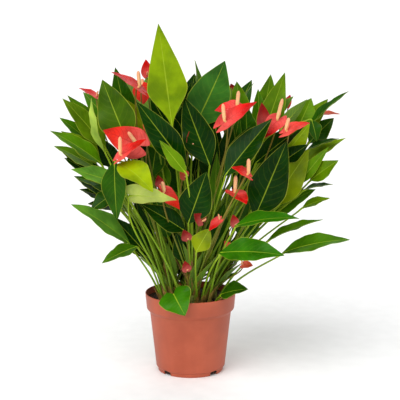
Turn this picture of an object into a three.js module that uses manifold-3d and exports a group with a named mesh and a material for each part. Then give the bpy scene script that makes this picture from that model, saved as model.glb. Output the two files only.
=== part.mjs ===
// Potted anthurium: a nursery pot filled with soil, with leafy crowns, single leaves and red blooms.
// Millimetres, +Z up. The origin is the centre of the pot's underside, and the front looks along -Y.
import * as THREE from "three";
import { mergeVertices } from "three/addons/utils/BufferGeometryUtils.js";
import Module from "manifold-3d";

const wasm = await Module();
wasm.setup();

// ---- driving dimensions ----

const GAP = 0.3; // clearance between pieces that touch on the real plant
const SAME_POINT = 1e-4; // points nearer than this are one

// pot
const POT_HEIGHT = 150;
const RIM_RADIUS = 85;
const RIM_BAND = 31; // height of the turned-out rim
const RIM_TAPER = 2.7; // how much narrower the band is at its lower edge
const RIM_STEP = 6; // how far the band stands out from the body
const BODY_TAPER = 11.5; // how much narrower the body is at its lower edge
const FOOT_HEIGHT = 9;
const FOOT_STEP = 3.5; // how far the foot stands in from the body
const FOOT_EDGE = 1; // bevel round the foot's lower edge
const FOOT_FLARE = 0.6; // how much wider the foot is at its upper end
const SHELF_RISE = 6.5; // height over which the body steps out to the rim band
const LIP_ROUND = 0.8; // bevel of the rim's upper edge
const WALL = 1.6;
const FLOOR = 2.2;
const POT_SEGMENTS = 28;
const DRAINS = 4;
const DRAIN_WIDTH = 17;
const DRAIN_HEIGHT = 9.5;
const DRAIN_REACH = 12; // how far a drain hole cuts in from the foot's edge
const DRAIN_TURN = 45; // where the first one is, in degrees from the right-hand side

// soil
const SOIL_LEVEL = 138;
const HOLE_DEPTH = 12; // how deep a stem stands in the soil
const HOLE_SIDES = 5;

// blades
const BLADE_THICKNESS = 1.2;
const EDGE_THICKNESS = 0.8;
const WAVES = 2.1; // waves of the margin along a blade
const LEAF_WAVE = 0.035; // how far a leaf's margin waves, as a share of its width
const SPATHE_WAVE = 0.02;
const WAVE_TURN = 1.3; // how much the waves shift from one leaf to the next
const WAVE_SPLIT = 2; // how much they shift from the right half of a blade to its left half
const LOBE_ROUND = 0.75; // how round the lobes behind a blade's base are

// stalks
const STALK_SIDES = 3;
const STALK_STEPS = 4;
const STALK_TOP = 1.6; // radius where a stalk meets its blade
const STALK_FLARE = 0.9; // extra radius at its foot
const STALK_STRAIGHT = 3; // height above the soil up to which a stalk stands upright
const STALK_SEAT = 0.7; // how deep a stalk's end sits under its blade, as a share of its radius
const STALK_SPREAD = 0.55; // how much of its sideways way a stalk takes from the start
const STALK_RISE = 0.38; // share of its length over which a stalk leaves its root
const STALK_FALL = 0.3; // share of its length over which it turns to its blade
const STALK_TURN = 0.45; // how strongly it turns
const RIB_END = 0.9; // radius where a stalk runs out as the midrib
const RIB_SHARE = 0.1; // how far it runs along the blade
const CROWN_RADIUS = 7;
const CROWN_TOP = 3.5;
const CROWN_HEIGHT = 20; // above the soil
const CROWN_SIDES = 7;
const CROWN_TIERS = 5; // levels at which stalks leave it
const CROWN_LOWEST = 0.2; // shares of its height between which the levels lie
const CROWN_HIGHEST = 0.8;
const CROWN_SHOULDER = 0.6;

// blooms
const SPATHE_DROOP = 16;
const SPATHE_NECK = 5; // length of stalk that stands square to its spathe
const SEAT = 0.1; // where a spathe sits on its stalk, as a share of its length
const SPADIX_RADIUS = 3.5;
const SPADIX_SIDES = 5;
const SPADIX_NECK = 3;
const SPADIX_SHARES = [0.35, 0.75, 0.94, 1]; // places along a spadix
const SPADIX_RADII = [0.75, 0.95, 1, 0.9, 0.55, 0.25]; // shares of its radius at its foot, neck and there
const BUD_DROOP = 14;
const BUD_NECK = 5;
const BUD_STALK = 0.75; // thickness of a young bloom's stalk, as a share of a leaf's
const BUD_SPADIX = 0.55; // length of its spadix, as a share of its spathe's width
const BUD_SPADIX_RADIUS = 1.6;
const BUD_TIP_RADIUS = 0.8;
const BUD_LIFT = 0.6; // how far its spadix leans upright

// columns across a blade and rows along it before its tip
const LEAF_GRID = { columns: 4, rows: [0, 0.16, 0.38, 0.6, 0.82] };
const NARROW_GRID = { columns: 2, rows: [0, 0.35, 0.68] };
const HEART_GRID = { columns: 4, rows: [0, 0.13, 0.3, 0.55, 0.8] };
const BUD_GRID = { columns: 2, rows: [0, 0.4] };

// outline of a blade: width at its base, where it is widest, how it swells and narrows, lobes behind the
// base and fold in degrees
const SHAPES = {
  tall: { ...LEAF_GRID, base: 0.07, widest: 0.37, rise: 1.6, fall: 1.2, lobe: 0.02, fold: 10 },
  leaf: { ...LEAF_GRID, base: 0.08, widest: 0.38, rise: 1, fall: 1.5, lobe: 0.05, fold: 13 },
  narrow: { ...NARROW_GRID, base: 0.08, widest: 0.37, rise: 1, fall: 1.4, lobe: 0.04, fold: 16 },
  heart: { ...HEART_GRID, base: 0.5, widest: 0.26, rise: 0.8, fall: 1.5, lobe: 0.22, fold: 8 },
  hood: { ...HEART_GRID, base: 0.8, widest: 0.2, rise: 1, fall: 1.3, lobe: 0.1, fold: 14 },
  spathe: { ...HEART_GRID, base: 0.5, widest: 0.27, rise: 0.8, fall: 1.5, lobe: 0.24, fold: 8 },
  bud: { ...BUD_GRID, base: 0.5, widest: 0.33, rise: 0.9, fall: 1.6, lobe: 0.14, fold: 18 },
};

const COLOURS = {
  pot: { color: 0xb05236, roughness: 0.5 },
  soil: { color: 0x2e1e16, roughness: 0.95 },
  lime: { color: 0x94aa04, roughness: 0.4 },
  young: { color: 0x758c04, roughness: 0.38 },
  pale: { color: 0xa0b84e, roughness: 0.45 },
  fresh: { color: 0x557a04, roughness: 0.36 },
  bright: { color: 0x2c6604, roughness: 0.3 },
  mid: { color: 0x3f6c04, roughness: 0.32 },
  deep: { color: 0x224c04, roughness: 0.28 },
  dark: { color: 0x0c3002, roughness: 0.26 },
  grey: { color: 0x568a2e, roughness: 0.34 },
  crown: { color: 0x3f6c14, roughness: 0.36 },
  spathe: { color: 0xd00c08, roughness: 0.26 },
  spadix: { color: 0xf2c48a, roughness: 0.5 },
};

// ---- where everything grows ----

// A leaf on its own stalk: its root in the soil, where its blade starts, its tip, the way its upper face
// looks, its width, its droop in degrees, and the outline and colour of its blade.
const LEAVES = [
  ["leaf_tall", [-7, -14], [-33, -45, 474], [-57, -30, 654], [0.1, -1, 0.1], 74, 6, "tall", "young"],
  ["leaf_left_1", [-23, -22], [-114, -55, 444], [-159, -29, 553], [-0.2, -1, 0.2], 70, 10, "leaf", "mid"],
  ["leaf_left_2", [-36, -18], [-158, -25, 423], [-179, -35, 520], [-1, -0.45, 0.3], 46, 12, "narrow", "pale"],
  ["leaf_left_3", [-25, 20], [-160, 15, 425], [-236, 18, 513], [0.3, -0.8, 0.6], 48, 12, "narrow", "fresh"],
  ["leaf_left_4", [-48, -10], [-165, -29, 401], [-255, -32, 460], [0.1, -0.5, 1], 46, 15, "narrow", "mid"],
  ["leaf_left_5", [-42, -28], [-133, -53, 367], [-215, -62, 394], [0, -0.6, 1], 48, 4, "narrow", "grey"],
  ["leaf_left_6", [-31, -36], [-134, -106, 411], [-130, -106, 308], [-0.3, -1, 0.15], 48, 14, "narrow", "deep"],
  ["leaf_left_7", [-54, -22], [-116, -35, 254], [-216, -69, 331], [0.25, -0.5, 1], 58, 18, "leaf", "mid"],
  ["leaf_left_8", [-50, -36], [-99, -60, 250], [-160, -90, 226], [-0.1, -0.5, 1], 38, 15, "narrow", "mid"],
  ["leaf_front_1", [-15, -45], [-124, -108, 411], [-64, -152, 368], [0.1, -0.5, 0.9], 58, 35, "narrow", "lime"],
  ["leaf_front_2", [-40, -48], [-106, -107, 354], [-23, -139, 352], [0, 0.85, 0.5], 46, 15, "hood", "pale"],
  ["leaf_front_3", [12, -50], [12, -99, 251], [36, -87, 290], [-0.2, -1, 0.5], 38, 15, "leaf", "young"],
  ["leaf_front_4", [20, -46], [57, -120, 253], [166, -165, 258], [0.1, -0.7, 1], 62, 20, "leaf", "bright"],
  ["leaf_front_5", [-24, -60], [-30, -75, 164], [-9, -112, 134], [-0.1, -1, 0.45], 64, 25, "heart", "bright"],
  ["leaf_front_6", [46, -46], [58, -65, 162], [105, -95, 179], [0, -0.7, 1], 44, 20, "narrow", "deep"],
  ["leaf_right_1", [24, -30], [120, -60, 311], [174, -70, 447], [0.1, -1, 0.3], 72, 10, "leaf", "dark"],
  ["leaf_right_2", [36, -15], [150, -24, 322], [219, -1, 421], [0.2, -1, 0.5], 60, 10, "leaf", "fresh"],
  ["leaf_right_3", [13, -26], [66, -81, 390], [147, -67, 487], [-0.4, -1, 0.6], 54, 10, "leaf", "dark"],
  ["leaf_right_4", [29, -14], [124, -5, 399], [211, -35, 473], [-0.4, -0.9, 0.7], 46, 10, "narrow", "dark"],
  ["leaf_right_5", [24, 10], [131, 22, 432], [176, 45, 559], [0.2, -1, 0.2], 50, 8, "narrow", "mid"],
  ["leaf_right_6", [43, 20], [223, 43, 459], [295, 43, 524], [-0.5, -0.2, 1], 40, 12, "narrow", "deep"],
  ["leaf_right_7", [34, -40], [84, -100, 298], [195, -120, 315], [0, -0.35, 1], 48, 25, "narrow", "bright"],
  ["leaf_right_8", [53, -18], [143, -36, 256], [242, -60, 301], [-0.2, -0.15, 1], 46, 15, "narrow", "mid"],
  ["leaf_right_9", [50, -32], [173, -75, 244], [287, -105, 273], [-0.1, -0.45, 1], 52, 22, "leaf", "mid"],
  ["leaf_back_1", [-22, 26], [-72, 99, 328], [-98, 188, 392], [-0.1, -0.3, 1], 60, 25, "leaf", "mid"],
  ["leaf_back_2", [10, 30], [48, 104, 345], [66, 205, 400], [0.1, -0.3, 1], 60, 25, "leaf", "deep"],
  ["leaf_back_3", [-40, 26], [-115, 75, 285], [-195, 130, 322], [-0.2, 0.1, 1], 54, 22, "narrow", "mid"],
  ["leaf_back_4", [40, 30], [118, 80, 275], [196, 140, 308], [0.2, 0.1, 1], 54, 22, "narrow", "dark"],
  ["leaf_back_5", [-4, 44], [-8, 118, 262], [-12, 222, 258], [0, 0.2, 1], 56, 40, "leaf", "fresh"],
  ["leaf_back_6", [-28, 44], [-62, 100, 215], [-100, 178, 196], [-0.2, 0.3, 1], 46, 30, "narrow", "deep"],
];

// A crown: its place in the soil, the blades that grow from it on stalks of their own, as above, and its
// young blooms: where the spathe sits, its tip, face and width.
const CROWNS = [
  ["crown_left", [-36, -2], [
    [[-116, 25, 457], [-139, 35, 569], [0.2, -1, 0.1], 48, 8, "narrow"],
    [[-60, -5, 426], [-122, 5, 515], [-0.2, -1, 0.4], 46, 10, "narrow"],
    [[-174, 50, 374], [-258, 60, 418], [0.1, -0.5, 1], 44, 15, "narrow"],
    [[-139, 10, 341], [-213, 10, 366], [0, -0.5, 1], 48, 20, "narrow"],
    [[-83, 10, 228], [-102, 15, 323], [-0.3, -1, 0.3], 50, 10, "narrow"],
    [[-71, 0, 371], [-60, 10, 444], [-0.2, -1, 0.3], 44, 10, "narrow"],
    [[-93, -10, 335], [-115, -5, 405], [-0.3, -1, 0.3], 44, 10, "narrow"],
    [[-176, 32, 419], [-244, 36, 475], [0.2, -0.7, 0.8], 38, 12, "narrow"],
    [[-169, 2, 398], [-238, -1, 455], [0.2, -0.8, 0.7], 42, 12, "narrow"],
    [[-166, 55, 434], [-230, 52, 515], [0.3, -0.8, 0.6], 38, 10, "narrow"],
    [[-141, 26, 314], [-208, 26, 341], [0, -0.5, 1], 42, 18, "narrow"],
    [[-143, -20, 340], [-184, -26, 310], [-0.4, -0.8, 0.5], 36, 15, "narrow"],
    [[-77, -8, 219], [-146, -6, 296], [0.1, -0.9, 0.5], 44, 14, "narrow"],
  ], [
    [[-80, 30, 553], [-82, 32, 584], [0.1, -1, 0.2], 22],
    [[-172, 34, 512], [-207, 38, 530], [0.5, -0.4, 1], 22],
    [[-163, 22, 416], [-170, 20, 434], [-0.1, -1, 0.4], 18],
    [[-72, -49, 443], [-85, -55, 479], [0.6, -0.8, 0.3], 20],
  ]],
  ["crown_middle", [0, 2], [
    [[10, 10, 466], [64, 25, 582], [0.35, -1, 0.1], 84, 8, "leaf"],
    [[34, -45, 403], [-11, -30, 521], [-0.3, -1, 0.3], 60, 8, "leaf"],
    [[-23, 10, 414], [-12, 25, 502], [-0.1, -1, 0.2], 48, 8, "narrow"],
    [[40, 3, 226], [63, 4, 319], [0.1, -1, 0.4], 50, 10, "narrow"],
    [[27, 40, 337], [44, 50, 412], [0.1, -1, 0.4], 50, 10, "narrow"],
    [[44, -22, 310], [49, -20, 420], [0.1, -1, 0.1], 26, 6, "narrow"],
    [[-20, -12, 424], [-74, -6, 524], [-0.2, -1, 0.3], 46, 8, "narrow"],
    [[-8, 24, 330], [-36, 30, 420], [-0.2, -1, 0.3], 50, 10, "narrow"],
  ], [
    [[2, -34, 432], [-2, -40, 460], [0.3, -1, 0.4], 20],
    [[25, 62, 526], [40, 64, 546], [-0.5, -0.8, 0.4], 22],
    [[83, 116, 511], [77, 118, 530], [-0.2, -0.8, 0.4], 18],
  ]],
  ["crown_front", [4, -36], [
    [[-11, -56, 403], [-97, -49, 516], [-0.2, -1, 0.4], 52, 8, "leaf"],
    [[-9, -92, 394], [-55, -80, 450], [-0.2, -1, 0.5], 26, 10, "narrow"],
    [[-2, -75, 301], [30, -85, 394], [0, -1, 0.2], 62, 12, "leaf"],
    [[-42, -7, 258], [-69, -17, 347], [-0.2, -1, 0.4], 50, 10, "narrow"],
    [[-8, -40, 217], [-26, -45, 274], [-0.2, -1, 0.4], 36, 10, "narrow"],
    [[-12, -63, 282], [-90, -75, 333], [0, -0.9, 0.6], 44, 14, "narrow"],
  ], [
    [[23, -78, 300], [7, -88, 317], [-0.4, -0.8, 0.7], 24],
    [[56, -84, 307], [34, -94, 287], [-0.4, -0.6, 0.8], 22],
    [[-4, -80, 268], [-12, -88, 288], [-0.2, -0.8, 0.5], 20],
    [[-53, -62, 363], [-58, -66, 384], [-0.2, -0.9, 0.4], 18],
    [[-9, -66, 379], [-18, -72, 397], [0.1, -0.8, 0.6], 20],
    [[-6, -66, 206], [-10, -70, 226], [0.1, -0.9, 0.4], 18],
  ]],
  ["crown_right", [44, 4], [
    [[173, 5, 408], [221, 15, 466], [0.2, -1, 0.4], 44, 10, "narrow"],
    [[202, 60, 452], [228, 75, 507], [0.2, -1, 0.4], 50, 8, "narrow"],
    [[205, 30, 383], [290, 34, 437], [-0.3, -0.5, 1], 40, 15, "narrow"],
    [[224, 0, 364], [273, -10, 402], [-0.2, -0.8, 0.7], 40, 10, "narrow"],
    [[199, -4, 356], [256, 4, 425], [-0.1, -0.9, 0.5], 26, 8, "narrow"],
    [[145, 10, 297], [234, 16, 343], [-0.3, -0.8, 0.7], 46, 12, "narrow"],
    [[98, 0, 253], [115, 5, 332], [0.1, -1, 0.4], 50, 10, "narrow"],
    [[79, 10, 377], [111, 20, 461], [0, -1, 0.4], 52, 10, "narrow"],
    [[134, 30, 339], [168, 40, 413], [0.1, -1, 0.4], 46, 10, "narrow"],
    [[218, 70, 455], [260, 80, 505], [0.1, -0.9, 0.5], 32, 10, "narrow"],
    [[226, 30, 470], [235, 20, 432], [0.3, -1, 0.2], 28, 15, "narrow"],
    [[219, 20, 418], [276, 20, 438], [-0.3, -0.2, 1], 30, 10, "narrow"],
    [[213, 0, 346], [264, -10, 357], [0, -0.15, 1], 28, 10, "narrow"],
    [[208, -25, 317], [256, -40, 337], [0, -0.5, 1], 28, 12, "narrow"],
    [[129, 60, 456], [127, 70, 525], [0.2, -1, 0.2], 28, 8, "narrow"],
    [[173, -12, 401], [217, -9, 431], [0, -0.9, 0.6], 32, 10, "narrow"],
  ], [
    [[81, -72, 292], [77, -78, 314], [0.2, -0.9, 0.4], 18],
    [[71, -68, 248], [62, -74, 264], [0.2, -0.8, 0.5], 16],
    [[94, -78, 220], [114, -88, 221], [0.1, -0.7, 0.8], 20],
    [[136, -4, 458], [131, -1, 508], [0.2, -1, 0.1], 28],
    [[182, 70, 491], [188, 74, 514], [-0.4, -0.8, 0.3], 16],
    [[244, 88, 473], [284, 88, 475], [0, -0.2, 1], 24],
  ]],
  ["crown_back", [-6, 28], [
    [[18, 75, 461], [8, 95, 577], [1, -0.35, 0.1], 55, 12, "narrow"],
    [[136, 85, 464], [152, 95, 550], [0.3, -1, 0.1], 44, 8, "narrow"],
    [[96, 95, 460], [88, 110, 535], [-0.2, -1, 0.2], 44, 8, "narrow"],
    [[-60, 70, 440], [-85, 120, 545], [-0.3, 1, 0.3], 56, 12, "leaf"],
    [[30, 100, 420], [40, 150, 520], [0.1, 1, 0.4], 60, 12, "leaf"],
    [[96, 131, 488], [121, 117, 531], [0.1, -0.2, 1], 24, 10, "narrow"],
  ], []],
];

// A bloom: the crown that it grows from, where the spathe sits on its stalk, the spathe's tip, the way its
// face looks, its width, and the way the spadix points and how long it is.
const BLOOMS = [
  ["crown_left", [-97, -72, 441], [-155, -82, 468], [-0.15, -1, 0.4], 58, [-0.45, -0.45, 0.75], 32],
  ["crown_left", [-120, -109, 426], [-76, -110, 456], [-0.5, -0.3, 0.8], 44, [0, -0.15, 1], 32],
  ["crown_left", [-95, -16, 536], [-143, -22, 566], [0.45, -0.3, 1], 40, [-0.1, 0.2, 1], 28],
  ["crown_left", [-90, 29, 530], [-86, 18, 502], [0.1, 1, 0.3], 38, [0, 0.6, 0.8], 22],
  ["crown_middle", [64, -86, 483], [119, -82, 519], [-0.5, -0.55, 0.7], 44, [-0.1, 0, 1], 30],
  ["crown_middle", [84, -52, 503], [44, -58, 500], [0, -0.45, 0.9], 46, [0.1, 0.1, 1], 28],
  ["crown_right", [158, -44, 480], [129, -66, 449], [-0.45, -0.9, 0.4], 38, [0.25, 0, 1], 38],
  ["crown_right", [174, -72, 464], [214, -82, 481], [0, -0.4, 1], 42, [0.25, 0, 1], 22],
  ["crown_front", [101, -118, 393], [73, -124, 408], [0.15, -0.3, 1], 42, [0, 0, 1], 26],
  ["crown_front", [80, -76, 353], [101, -106, 338], [0.3, -0.35, 1], 42, [0.05, 0, 1], 28],
  ["crown_front", [-48, -92, 356], [-18, -102, 328], [0.5, -0.6, 0.8], 42, [-0.2, 0, 1], 18],
];

// ---- helpers ----

const vec = (a) => new THREE.Vector3(a[0], a[1], a[2]);
const UP = new THREE.Vector3(0, 0, 1);
const rad = THREE.MathUtils.degToRad;
const lerp = THREE.MathUtils.lerp;

function geometryOf(points, triangles) {
  const places = points.flatMap((point) => point.toArray());
  const geometry = new THREE.BufferGeometry();
  geometry.setAttribute("position", new THREE.Float32BufferAttribute(places, 3));
  geometry.setIndex(triangles.flat());
  return geometry;
}

function solidOf(geometry) {
  const bare = geometry.clone();
  bare.deleteAttribute("normal");
  bare.deleteAttribute("uv");
  const merged = mergeVertices(bare, SAME_POINT);
  const vertProperties = new Float32Array(merged.getAttribute("position").array);
  const triVerts = new Uint32Array(merged.getIndex().array);
  return new wasm.Manifold(new wasm.Mesh({ numProp: 3, vertProperties, triVerts }));
}

function geometryFrom(solid) {
  const mesh = solid.getMesh();
  const geometry = new THREE.BufferGeometry();
  geometry.setAttribute("position", new THREE.BufferAttribute(new Float32Array(mesh.vertProperties), 3));
  geometry.setIndex(new THREE.BufferAttribute(new Uint32Array(mesh.triVerts), 1));
  return geometry;
}

// Pieces fused into one body: a hollow that this seals is filled, and a loose scrap is dropped.
function joined(geometries) {
  const bodies = geometries.map(solidOf).reduce((whole, piece) => whole.add(piece)).decompose();
  return geometryFrom(bodies.reduce((largest, body) => (body.volume() > largest.volume() ? body : largest)));
}

function pieceOf(name, geometry, look) {
  const flat = geometry.index ? geometry.toNonIndexed() : geometry;
  flat.computeVertexNormals();
  const mesh = new THREE.Mesh(flat, new THREE.MeshStandardMaterial({ ...COLOURS[look], metalness: 0 }));
  mesh.name = name;
  return mesh;
}

// ---- blades and stalks ----

// The curved middle line of a blade: it starts at `start`, ends at `tip` and bends away from its upper face.
function spineOf(start, tip, face, droop) {
  const chord = tip.clone().sub(start);
  const along = chord.clone().normalize();
  const up = face.clone().addScaledVector(along, -face.dot(along)).normalize();
  const turn = rad(droop);
  const ahead = along.clone().multiplyScalar(Math.cos(turn / 2)).addScaledVector(up, Math.sin(turn / 2));
  const normal = up.clone().multiplyScalar(Math.cos(turn / 2)).addScaledVector(along, -Math.sin(turn / 2));
  const side = ahead.clone().cross(normal);
  return { start, ahead, normal, side, turn, length: (chord.length() * turn) / 2 / Math.sin(turn / 2) };
}

// The point of a blade at a share of its length, so far across it and so far above its middle surface.
function onSpine(spine, share, across, above) {
  const angle = spine.turn * share;
  const radius = spine.length / spine.turn;
  const normal = spine.normal.clone()
    .multiplyScalar(Math.cos(angle))
    .addScaledVector(spine.ahead, Math.sin(angle));
  return spine.start.clone()
    .addScaledVector(spine.ahead, radius * Math.sin(angle))
    .addScaledVector(spine.normal, -radius * (1 - Math.cos(angle)))
    .addScaledVector(spine.side, across)
    .addScaledVector(normal, above);
}

// Half the width of a blade at a share of its length, as a share of its greatest half width.
function outline({ base, widest, rise, fall }, share) {
  if (share > widest) return 1 - ((share - widest) / (1 - widest)) ** fall;
  return base + (1 - base) * Math.sin((Math.PI / 2) * (share / widest) ** rise);
}

// A thin closed blade: rows of points across it, a single edge at the tip, folded along the midrib and waved
// along its margins.
function bladeGeometry(spine, shape, width, wave, phase) {
  const { columns } = shape;
  const points = [];
  const triangles = [];
  for (const face of [1, -1]) {
    for (const station of shape.rows) {
      for (let column = 0; column <= columns; column += 1) {
        const v = (2 * column) / columns - 1;
        const lobe = shape.lobe * Math.sin(LOBE_ROUND * Math.PI * Math.abs(v)) * (1 - station) ** 2;
        const across = (v * width * outline(shape, station)) / 2;
        const ripple = Math.sin(2 * Math.PI * WAVES * station + phase + (v < 0 ? WAVE_SPLIT : 0));
        const lift = wave * ripple * v * v * Math.sin(Math.PI * station);
        const thickness = lerp(BLADE_THICKNESS, EDGE_THICKNESS, Math.abs(v));
        const above = Math.abs(across) * Math.tan(rad(shape.fold)) + lift + (face * thickness) / 2;
        points.push(onSpine(spine, station - lobe, across, above));
      }
    }
    points.push(onSpine(spine, 1, 0, (face * EDGE_THICKNESS) / 2));
  }
  const rows = shape.rows.length;
  const wide = columns + 1;
  const lower = rows * wide + 1;
  const at = (row, column) => (row === rows ? rows * wide : row * wide + column);
  const sheet = (a, b, c) => triangles.push([a, b, c], [a + lower, c + lower, b + lower]);
  for (let row = 0; row < rows; row += 1) {
    for (let column = 0; column < columns; column += 1) {
      const [a, b] = [at(row, column), at(row, column + 1)];
      const [c, d] = [at(row + 1, column + 1), at(row + 1, column)];
      if (row === rows - 1) {
        sheet(a, b, c);
      } else if (column < columns / 2) {
        sheet(a, b, c);
        sheet(a, c, d);
      } else {
        sheet(a, b, d);
        sheet(b, c, d);
      }
    }
  }
  const rim = [];
  for (let column = 0; column < columns; column += 1) rim.push(at(0, column));
  for (let row = 0; row < rows; row += 1) rim.push(at(row, columns));
  rim.push(at(rows, 0));
  for (let row = rows - 1; row > 0; row -= 1) rim.push(at(row, 0));
  rim.forEach((a, i) => {
    const b = rim[(i + 1) % rim.length];
    triangles.push([a, a + lower, b], [b, a + lower, b + lower]);
  });
  return geometryOf(points, triangles);
}

// A closed tube along a path, with a radius at each point.
function tubeGeometry(path, radii, sides) {
  const points = [];
  const triangles = [];
  let across = new THREE.Vector3(1, 0, 0);
  path.forEach((point, i) => {
    const ahead = path[Math.min(i + 1, path.length - 1)].clone().sub(path[Math.max(i - 1, 0)]).normalize();
    across = across.clone().addScaledVector(ahead, -across.dot(ahead)).normalize();
    const third = ahead.clone().cross(across);
    for (let k = 0; k < sides; k += 1) {
      const angle = (2 * Math.PI * k) / sides;
      points.push(point.clone()
        .addScaledVector(across, radii[i] * Math.cos(angle))
        .addScaledVector(third, radii[i] * Math.sin(angle)));
    }
  });
  for (let i = 0; i < path.length - 1; i += 1) {
    for (let k = 0; k < sides; k += 1) {
      const [a, b] = [i * sides + k, i * sides + ((k + 1) % sides)];
      triangles.push([a, b, b + sides], [a, b + sides, a + sides]);
    }
  }
  const last = (path.length - 1) * sides;
  for (let k = 1; k < sides - 1; k += 1) triangles.push([0, k + 1, k], [last, last + k, last + k + 1]);
  return geometryOf(points, triangles);
}

// The way a stalk runs: out of `from`, arching over to arrive at `to` with a lean towards `toward`.
function archOf(from, to, toward) {
  const chord = to.clone().sub(from);
  const length = chord.length();
  const straight = chord.clone().normalize();
  const leave = new THREE.Vector3(chord.x * STALK_SPREAD, chord.y * STALK_SPREAD, chord.z).normalize();
  const turning = STALK_TURN + Math.max(0, STALK_FALL - straight.dot(toward)) / 2;
  const arrive = straight.clone().addScaledVector(toward, turning).normalize();
  const early = from.clone().addScaledVector(leave, length * STALK_RISE);
  const late = to.clone().addScaledVector(arrive, -length * STALK_FALL);
  return new THREE.CubicBezierCurve3(from, early, late, to).getPoints(STALK_STEPS);
}

function stalkRadii(count) {
  return Array.from({ length: count }, (_, i) => STALK_TOP + STALK_FLARE * (1 - i / (count - 1)) ** 3);
}

// A blade with its stalk, which runs out along the underside as the midrib.
function leafPieces(from, start, tip, face, width, droop, shapeName, index) {
  const shape = SHAPES[shapeName];
  const spine = spineOf(vec(start), vec(tip), vec(face), droop);
  const seat = onSpine(spine, 0, 0, -STALK_TOP * STALK_SEAT);
  const arch = archOf(from.at(-1), seat, spine.ahead);
  const path = [...from.slice(0, -1), ...arch];
  const rib = onSpine(spine, RIB_SHARE, 0, -RIB_END * STALK_SEAT);
  return [
    bladeGeometry(spine, shape, width, width * LEAF_WAVE, index * WAVE_TURN),
    tubeGeometry([...path, rib], [...stalkRadii(path.length), RIB_END], STALK_SIDES),
  ];
}

// ---- pot and soil ----

const bodyTop = POT_HEIGHT - RIM_BAND;
const bodyTopRadius = RIM_RADIUS - RIM_TAPER - RIM_STEP;
const bodyBaseRadius = bodyTopRadius - BODY_TAPER;
const footRadius = bodyBaseRadius - FOOT_STEP;

const bandBase = bodyTop + SHELF_RISE / 4;

const potOutside = [
  [0, 0],
  [footRadius - FOOT_EDGE, 0],
  [footRadius, FOOT_EDGE],
  [footRadius + FOOT_FLARE, FOOT_HEIGHT - FOOT_STEP / 2],
  [bodyBaseRadius, FOOT_HEIGHT],
  [bodyTopRadius, bandBase - SHELF_RISE],
  [bodyTopRadius + RIM_STEP / 2, bandBase - SHELF_RISE / 2],
  [RIM_RADIUS - RIM_TAPER, bandBase],
  [RIM_RADIUS, POT_HEIGHT - LIP_ROUND],
  [RIM_RADIUS - LIP_ROUND, POT_HEIGHT],
];
const potInside = [
  [RIM_RADIUS - WALL, POT_HEIGHT],
  [RIM_RADIUS - RIM_TAPER - WALL, bandBase + WALL],
  [bodyTopRadius - WALL, bandBase - SHELF_RISE + WALL / 2],
  [bodyBaseRadius - WALL, FOOT_HEIGHT + WALL],
  [footRadius - WALL, FLOOR],
  [0, FLOOR],
];

function turned(profile) {
  const points = profile.map(([r, z]) => new THREE.Vector2(r, z));
  return new THREE.LatheGeometry(points, POT_SEGMENTS).rotateX(Math.PI / 2);
}

function potGeometry() {
  let pot = solidOf(turned([...potOutside, ...potInside]));
  for (let i = 0; i < DRAINS; i += 1) {
    const drain = new THREE.BoxGeometry(2 * DRAIN_REACH, DRAIN_WIDTH, 2 * DRAIN_HEIGHT);
    drain.translate(footRadius, 0, 0);
    drain.rotateZ(rad(DRAIN_TURN + (360 * i) / DRAINS));
    pot = pot.subtract(solidOf(drain));
  }
  return geometryFrom(pot);
}

function holeGeometry([x, y], radius) {
  const hole = new THREE.CylinderGeometry(radius, radius, 2 * HOLE_DEPTH, HOLE_SIDES);
  return hole.rotateX(Math.PI / 2).translate(x, y, SOIL_LEVEL);
}

// The soil fills the pot up to its level, so its outline is the inside of the pot drawn in by the gap.
function soilGeometry() {
  const [lip, shelf, ...below] = potInside;
  const rise = (SOIL_LEVEL - shelf[1]) / (lip[1] - shelf[1]);
  const surface = [lerp(shelf[0], lip[0], rise) - GAP, SOIL_LEVEL];
  const walls = [shelf, ...below.slice(0, -2)].map(([r, z]) => [r - GAP, z]);
  const base = [[footRadius - WALL - GAP, FLOOR + GAP], [0, FLOOR + GAP]];
  let soil = solidOf(turned([[0, SOIL_LEVEL], surface, ...walls, ...base].reverse()));
  const stalkHole = (STALK_TOP + STALK_FLARE + GAP) / Math.cos(Math.PI / HOLE_SIDES);
  const crownHole = (CROWN_RADIUS + GAP) / Math.cos(Math.PI / HOLE_SIDES);
  for (const [, root] of LEAVES) soil = soil.subtract(solidOf(holeGeometry(root, stalkHole)));
  for (const [, root] of CROWNS) soil = soil.subtract(solidOf(holeGeometry(root, crownHole)));
  return geometryFrom(soil);
}

// ---- leaves, crowns and blooms ----

const footLevel = SOIL_LEVEL - HOLE_DEPTH + GAP;

function leafGeometry([, root, start, tip, face, width, droop, shapeName], index) {
  const from = [vec([...root, footLevel]), vec([...root, SOIL_LEVEL + STALK_STRAIGHT])];
  return joined(leafPieces(from, start, tip, face, width, droop, shapeName, index));
}

// The point on the axis of a crown from which a stalk leaves it.
function crownPoint(root, index) {
  const tier = (index % CROWN_TIERS) / (CROWN_TIERS - 1);
  return vec([...root, SOIL_LEVEL + CROWN_HEIGHT * lerp(CROWN_LOWEST, CROWN_HIGHEST, tier)]);
}

function bloomSpine([, seat, tip, face]) {
  const chord = vec(tip).sub(vec(seat));
  const start = vec(seat).addScaledVector(chord, -SEAT / (1 - SEAT));
  return spineOf(start, vec(tip), vec(face), SPATHE_DROOP);
}

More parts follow.
